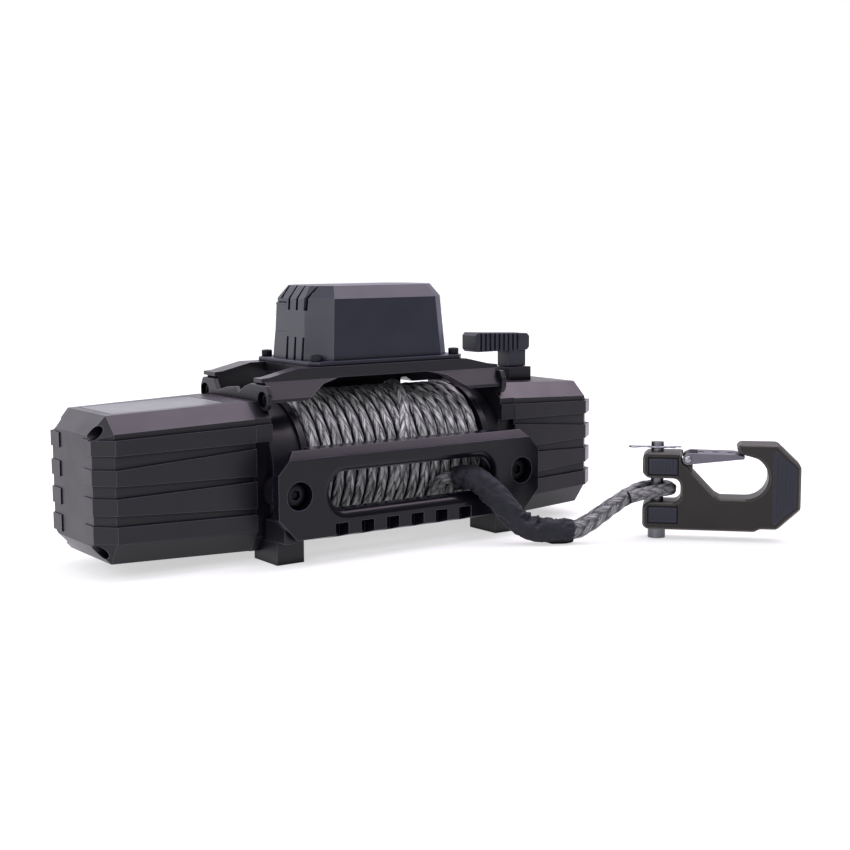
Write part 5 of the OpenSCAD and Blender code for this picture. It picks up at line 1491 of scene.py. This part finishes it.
@dataclass
class Hook:
    """The clevis hook at the rope's end, with its gate, pin, hairpin and rubber pads.

    Sizes without a unit are in millimetres and in the hook's own measures: lengths from its back end,
    heights from its underside, and depths from its middle.
    """

    place: Point = (228 * MM, -188.4 * MM, 0.0)
    turn_deg: float = -46.0
    back: float = 13.7 * MM
    floor: float = 10 * MM
    half: float = 16.0
    rim: float = 2.5
    pad_x: tuple[float, float] = (5.6, 33.8)
    pad_z: tuple[tuple[float, float], ...] = ((6.7, 22.8), (54.0, 70.5))
    pad_low: float = 14.0
    pad_high: float = 16.8
    pad_inset: float = 0.7
    rib_high: float = 0.45
    rib_deep: float = 1.6
    rib_round: float = 0.55 * MM
    ribs: int = 8
    bars: int = 5
    bar_half: float = 1.1
    bar_round: float = 0.7 * MM
    bar_margin: float = 2.2
    # Rims of painted gap shade round the pads: how far they stand out and how far they reach past each pad
    shade_rim_out: float = 0.15
    shade_rim: float = 0.9
    near_pads: tuple[float, float] = (4.6, 35)
    near_nose: tuple[float, float, float, float] = (124, 145.2, 8, 79.4)
    nose: tuple[tuple[float, float], ...] = ((124.8, 78.5), (144.4, 62.9), (144.4, 25.5), (124.8, 9.0))
    pivot: tuple[float, float] = (43.0, 69.5)
    clip_z: float = 89.8 * MM
    clip_r: float = 0.85 * MM

    def frame(self) -> Matrix:
        """Give the matrix from the hook's own measures to the winch's frame."""
        return (Matrix.Translation(self.place) @ Matrix.Rotation(math.radians(self.turn_deg), 4, "Z")
                @ Matrix.Translation((-self.back, 0, self.floor)))

    def bodies(self, bench: Bench) -> None:
        """Round and dress the forged body, the pin and the gate."""
        bench.dress(softened("hook_body", "hook_forging", 0.6, 2, 8.0, shape_it=self.round_rims),
                    HARD_ANODISE, "hook", ["hook_body"])
        bench.dress(softened("hook_pin", "hook_clevis_pin", 0.8), TURNED_STEEL, "hook", ["hook_pin"])
        bench.dress(softened("hook_gate", "hook_gate_latch", 0.5, 2, 2.0), BLASTED_GATE, "gate",
                    ["hook_gate"])

    def round_rims(self, shape: bmesh.types.BMesh) -> None:
        """Round the long rims of the forged body's two flat sides, but not those of the pads' beds."""
        back = self.frame().inverted()
        x0, x1 = self.near_pads
        nose_x0, nose_x1, nose_z0, nose_z1 = self.near_nose
        rims = []
        for edge in shape.edges:
            ends = [back @ vert.co / MM for vert in edge.verts]
            flat = all(abs(abs(p.y) - self.half) < 0.05 for p in ends)
            small = any(all(x0 < p.x < x1 and z0 - 1.2 < p.z < z1 + 1.2 for p in ends)
                        for z0, z1 in self.pad_z)
            nose = all(nose_x0 < p.x < nose_x1 and nose_z0 < p.z < nose_z1 for p in ends)
            if flat and not small and not nose and len(edge.link_faces) == 2:
                if edge.calc_length() > 1.5 * MM and edge.calc_face_angle(0.0) > 0.6:
                    rims.append(edge)
        bmesh.ops.bevel(shape, geom=rims, offset=self.rim * MM, offset_type="OFFSET", segments=3, profile=0.5,
                        affect="EDGES", clamp_overlap=False)

    def pad(self, x0: float, x1: float, z0: float, z1: float) -> list[bpy.types.Object]:
        """Model a rectangular pad with upright ribs on the side that faces +Y.

        Args:
            x0: Its back end.
            x1: Its front end.
            z0: Its lower edge.
            z1: Its upper edge.

        Returns:
            The pad's field and its ribs.
        """
        inset, rim, gap = self.pad_inset, 1.7, 0.16
        parts = [slab("pad", ((x0 + inset) * MM, self.pad_low * MM, (z0 + inset) * MM),
                      ((x1 - inset) * MM, (self.pad_high - self.rib_high) * MM, (z1 - inset) * MM), 0.2 * MM)]
        step = (x1 - x0 - 2 * rim) / self.ribs
        for k in range(self.ribs):
            low = (x0 + rim + (k + gap) * step, self.pad_high - self.rib_deep, z0 + rim + 0.1)
            high = (x0 + rim + (k + 1 - gap) * step, self.pad_high - 0.1, z1 - rim - 0.1)
            parts.append(slab("rib", tuple(v * MM for v in low), tuple(v * MM for v in high),
                              self.rib_round, 3))
        return parts

    def field(self, grow: float, high: float) -> bpy.types.Object:
        """Model the slanted field at the hook's nose.

        Args:
            grow: How far it reaches past the pad's outline, in millimetres.
            high: How far its face is from the hook's middle, in millimetres.

        Returns:
            The field, on the side that faces +Y.
        """
        middle = (sum(x for x, _ in self.nose) / 4, sum(z for _, z in self.nose) / 4)
        corners = [((x + math.copysign(grow, x - middle[0])) * MM, self.pad_low * MM,
                    (z + math.copysign(1.5 * grow, z - middle[1])) * MM) for x, z in self.nose]
        return prism("nose", corners, (0, (high - self.pad_low) * MM, 0), 0.12 * MM, 1)

    def end_pad(self) -> list[bpy.types.Object]:
        """Model the pad at the hook's nose: a slanted field with upright bars on the side that faces +Y."""
        parts = [self.field(-self.pad_inset, self.pad_high - self.rib_high)]
        (xa, za), (xb, zb), (_, zc), (_, zd) = self.nose
        for k in range(self.bars):
            share = (k + 0.5) / self.bars
            x = xa + (xb - xa) * share
            top = za + (zb - za) * share - self.bar_margin
            bottom = zd + (zc - zd) * share + self.bar_margin
            low = (x - self.bar_half, self.pad_high - self.rib_deep, bottom)
            high = (x + self.bar_half, self.pad_high, top)
            parts.append(slab("bar", tuple(v * MM for v in low), tuple(v * MM for v in high),
                              self.bar_round, 3))
        return parts

    def pads(self, bench: Bench) -> None:
        """Model the pads of one side and the near-black rims round them that paint the shade of the gaps, and
        mirror both.
        """
        parts = self.end_pad()
        (x0, x1), high, rim = self.pad_x, self.half + self.shade_rim_out, self.shade_rim
        gap_shades = [self.field(rim, high)]
        for z0, z1 in self.pad_z:
            parts += self.pad(x0, x1, z0, z1)
            # Near-black rim round the pad: painted shade of the gap between pad and bed
            gap_shades.append(slab("seat", ((x0 - rim) * MM, self.pad_low * MM, (z0 - rim) * MM),
                              ((x1 + rim) * MM, high * MM, (z1 + rim) * MM), 0.12 * MM))
        for rows, name, finish, replaced in ((parts, "hook_rubber_pads", PAD_RUBBER, ["hook_grips"]),
                                             (gap_shades, "hook_pad_gap_shade", PAD_GAP_SHADE, [])):
            one = join(rows, "hook_side")
            both = [copy_of(one, self.frame()), copy_of(one, self.frame() @ Matrix.Scale(-1, 4, (0, 1, 0)))]
            bpy.data.objects.remove(one)
            bench.dress(settle(outward(join(both, name))), finish, "hook", replaced)

    def rivet(self, bench: Bench) -> None:
        """Turn the gate's rivet, with a domed head at each cheek."""
        h = self.half
        side = [(0.0, h + 1.5), (1.6, h + 1.45), (2.8, h + 1.1), (3.6, h + 0.35), (3.7, h + 0.1),
                (2.0, h + 0.1)]
        profile = [(r * MM, z * MM) for r, z in side] + [(r * MM, -z * MM) for r, z in reversed(side)]
        made = turned("gate_rivet", profile)
        x, z = self.pivot
        place = self.frame() @ Matrix.Translation((x * MM, 0, z * MM)) @ Matrix.Rotation(math.pi / 2, 4, "X")
        made.data.transform(place)
        bench.dress(made, BRIGHT_STEEL, "hook", ["gate_pin"])

    def hairpin(self, bench: Bench) -> None:
        """Bend the hairpin: a straight leg through the pin, a ring at its end and a leg round the pin."""
        straight = [(23, 0, 0), (12, 0, 0), (0, 0, 0), (-12, 0, 0), (-19, 0, 0)]
        ring = [(-23 + 4.2 * math.cos(t), -4.0 + 4.2 * math.sin(t), 0.0)
                for t in np.radians(np.arange(80, 300, 20))]
        outer = [(-17.5, -5.0, 0), (-12, -3.6, 0), (-8.5, -4.6, 0), (-5.2, -6.9, 0), (0, -7.9, 0),
                 (5.2, -6.9, 0), (8.5, -4.6, 0), (12, -4.4, 0), (17, -7.0, 0)]
        route = np.array(straight + ring + outer) * MM
        spin = np.array(Matrix.Rotation(math.radians(self.turn_deg), 3, "Z"))
        line = smooth_route(route @ spin.T + np.array([self.place[0], self.place[1], self.clip_z]), 0.8 * MM)
        made = wire("hook_hairpin", line, self.clip_r, (0.0, 0.0, 1.0))
        bench.dress(made, BRIGHT_STEEL, "hook", ["hook_clip"])

    def build(self, bench: Bench) -> None:
        """Make every piece of the hook.

        Args:
            bench: The bench that dresses them.
        """
        self.bodies(bench)
        self.pads(bench)
        self.rivet(bench)
        self.hairpin(bench)
        bench.coat_node("gate_spring", TURNED_STEEL)


@dataclass
class PlateField:
    """The bare foil plate let into the top of the motor cover."""

    from_x: float = -165.6 * MM
    to_x: float = -273.3 * MM
    half_w: float = 35.4 * MM
    from_z: float = 145.2 * MM
    to_z: float = 142.25 * MM
    thick: float = 0.5 * MM
    corner: float = 3 * MM
    border: float = 2.2 * MM
    press_w: float = 0.4 * MM
    press_deep: float = 0.18 * MM

    def build(self, bench: Bench) -> None:
        """Model the plate with rounded corners and a pressed border.

        Args:
            bench: The bench that dresses it.
        """
        deselect()
        bpy.ops.mesh.primitive_plane_add(size=1.0)
        made = bpy.context.object
        made.name = "motor_cover_plate"
        edit(made)
        bpy.ops.mesh.select_all(action="SELECT")
        bpy.ops.transform.resize(value=(self.from_x - self.to_x, 2 * self.half_w, 1))
        bpy.ops.mesh.bevel(offset=self.corner, segments=5, affect="VERTICES")
        bpy.ops.mesh.select_all(action="SELECT")
        bpy.ops.mesh.inset(thickness=self.border)
        bpy.ops.mesh.inset(thickness=self.press_w)
        bpy.ops.transform.translate(value=(0, 0, -self.press_deep))
        bpy.ops.mesh.select_all(action="SELECT")
        bpy.ops.mesh.extrude_region_move(TRANSFORM_OT_translate={"value": (0, 0, -self.thick)})
        bpy.ops.object.mode_set(mode="OBJECT")
        slope = math.atan2(self.from_z - self.to_z, self.from_x - self.to_x)
        made.data.transform(Matrix.Translation(((self.from_x + self.to_x) / 2, 0,
                                                (self.from_z + self.to_z) / 2 + self.thick))
                            @ Matrix.Rotation(-slope, 4, "Y"))
        bench.dress(settle(outward(made)), PLATE_FOIL, "chassis")


@dataclass
class Works:
    """What stays as the CAD has it: drum, rods, motor, gears and switchgear."""

    rows: dict[str, Finish] = field(default_factory=lambda: {
        "drum": POWDER_COAT, "tie_rods": POWDER_COAT, "rope_anchor_screw": BLACK_OXIDE,
        "drum_bushings": SINTERED_BRONZE, "motor_can": BLACK_OXIDE, "field_coils": COPPER_WIRE,
        "end_bell": POWDER_COAT, "brush_ring": SINTERED_BRONZE, "armature": LAMINATED_STEEL,
        "commutator": SINTERED_BRONZE, "drive_shaft": TURNED_STEEL, "ring_gear": GEAR_STEEL,
        "gear_cartridge": GEAR_STEEL, "planet_carrier": GEAR_STEEL, "planet_gear_1": GEAR_STEEL,
        "planet_gear_2": GEAR_STEEL, "planet_gear_3": GEAR_STEEL, "sun_gear": GEAR_STEEL,
        "contactor": MOULDED_NYLON, "contactor_studs": SINTERED_BRONZE, "remote_socket": MOULDED_NYLON,
        "flap_pin": TURNED_STEEL})

    def build(self, bench: Bench) -> None:
        """Coat every node that stays.

        Args:
            bench: The bench that coats them.
        """
        for node, finish in self.rows.items():
            bench.coat_node(node, finish)


@dataclass(frozen=True)
class SoftBox:
    """A rectangular soft light that faces a point, with its power in watts."""

    name: str
    at: Point
    towards: Point
    size: tuple[float, float]
    power: float
    colour: str = "#ffffff"

    def hang(self) -> None:
        """Hang the light in the scene."""
        data = bpy.data.lights.new(self.name, "AREA")
        data.shape, data.size, data.size_y = "RECTANGLE", *self.size
        data.energy, data.color = self.power, to_linear(self.colour)[:3]
        lamp = bpy.data.objects.new(self.name, data)
        bpy.context.scene.collection.objects.link(lamp)
        lamp.location = self.at
        lamp.rotation_euler = (Vector(self.towards) - Vector(self.at)).to_track_quat("-Z", "Y").to_euler()


@dataclass
class Studio:
    """Camera, lights, floor and the white room."""

    at: Point = (-0.7755, -1.1987, 0.2852)
    yaw_deg: float = 35.61
    pitch_deg: float = 7.04
    roll_deg: float = -0.22
    lens_mm: float = 61.43
    bright_way: Point = (-0.62, 0.45, 0.64)
    dark: float = 0.12
    bright: float = 1.7
    paper_size: float = 8.0
    paper_glow: float = 0.55
    paper_under: float = 0.5 * MM
    lights: tuple[SoftBox, ...] = (
        SoftBox("top_soft_box", (1.12, -0.05, 2.1), (0, 0, 0.1), (1.9, 1.9), 52, "#f2dcf3"),
        SoftBox("left_soft_box", (-1.9, 1.7, 0.9), (-0.1, 0, 0.1), (1.8, 1.4), 6),
        SoftBox("front_soft_box", (-2.5, -1.5, 0.9), (0.1, -0.1, 0.08), (1.3, 1.1), 16),
        SoftBox("lip_soft_box", (0.3, -1.7, 2.1), (0.0, -0.1, 0.06), (0.7, 0.5), 7))

    def camera(self) -> None:
        """Set the camera at the photograph's place, direction and lens."""
        a, e, r = (math.radians(v) for v in (self.yaw_deg, self.pitch_deg, self.roll_deg))
        ahead = Vector((math.sin(a) * math.cos(e), math.cos(a) * math.cos(e), -math.sin(e)))
        level = Vector((math.cos(a), -math.sin(a), 0))
        top = level.cross(ahead)
        right = level * math.cos(r) + top * math.sin(r)
        up = top * math.cos(r) - level * math.sin(r)
        data = bpy.data.cameras.new("studio_camera")
        data.lens, data.sensor_width, data.clip_end = self.lens_mm, 36.0, 60.0
        eye = bpy.data.objects.new("studio_camera", data)
        bpy.context.scene.collection.objects.link(eye)
        eye.matrix_world = Matrix.Translation(self.at) @ Matrix((right, up, -ahead)).transposed().to_4x4()
        bpy.context.scene.camera = eye

    def floor(self) -> None:
        """Lay the white paper, which glows a little, so that only contact shadows stay on it."""
        deselect()
        bpy.ops.mesh.primitive_plane_add(size=self.paper_size, location=(0, 0, -self.paper_under))
        ground = bpy.context.object
        ground.name = "studio_floor"
        paper = bpy.data.materials.new("studio_paper")
        paper.use_nodes = True
        shader = paper.node_tree.nodes["Principled BSDF"]
        shader.inputs["Base Color"].default_value = to_linear("#b4b4b6")
        shader.inputs["Roughness"].default_value = 0.9
        shader.inputs["Specular IOR Level"].default_value = 0.1
        shader.inputs["Emission Color"].default_value = WHITE
        shader.inputs["Emission Strength"].default_value = self.paper_glow
        ground.data.materials.append(paper)

    def room(self) -> None:
        """Surround the winch with a room that is bright above and to the left, and white to the camera."""
        world = bpy.data.worlds.new("white_room")
        bpy.context.scene.world = world
        world.use_nodes = True
        tree = world.node_tree
        tree.nodes.clear()
        way = add_node(tree, "ShaderNodeTexCoord").outputs["Generated"]
        lit = add_node(tree, "ShaderNodeVectorMath", {0: way, 1: self.bright_way},
                       operation="DOT_PRODUCT").outputs["Value"]
        share = add_node(tree, "ShaderNodeMapRange", {"Value": lit, "From Min": -0.8, "From Max": 0.9,
                                                      "To Min": self.dark, "To Max": self.bright},
                         interpolation_type="SMOOTHSTEP").outputs[0]
        light = add_node(tree, "ShaderNodeBackground", {"Color": to_linear("#f6f4fa"), "Strength": share})
        white = add_node(tree, "ShaderNodeBackground", {"Color": WHITE, "Strength": 1.0})
        seen = add_node(tree, "ShaderNodeLightPath").outputs["Is Camera Ray"]
        mixed = add_node(tree, "ShaderNodeMixShader", {0: seen, 1: light.outputs[0], 2: white.outputs[0]})
        add_node(tree, "ShaderNodeOutputWorld", {"Surface": mixed.outputs[0]})

    def build(self) -> None:
        """Set up the whole studio."""
        self.camera()
        self.room()
        bpy.context.scene.view_settings.view_transform = "Standard"
        for light in self.lights:
            light.hang()
        self.floor()


def main() -> None:
    logging.basicConfig(level=logging.INFO, format="%(message)s")
    Studio().build()
    bench = Bench()
    rope, line, on_it = FreeRope().build(bench)
    Castings().build(bench)
    Fasteners().build(bench)
    WoundRope().build(bench)
    hook = Hook()
    hook.build(bench)
    PlateField().build(bench)
    Works().build(bench)


if __name__ == "__main__":
    main()
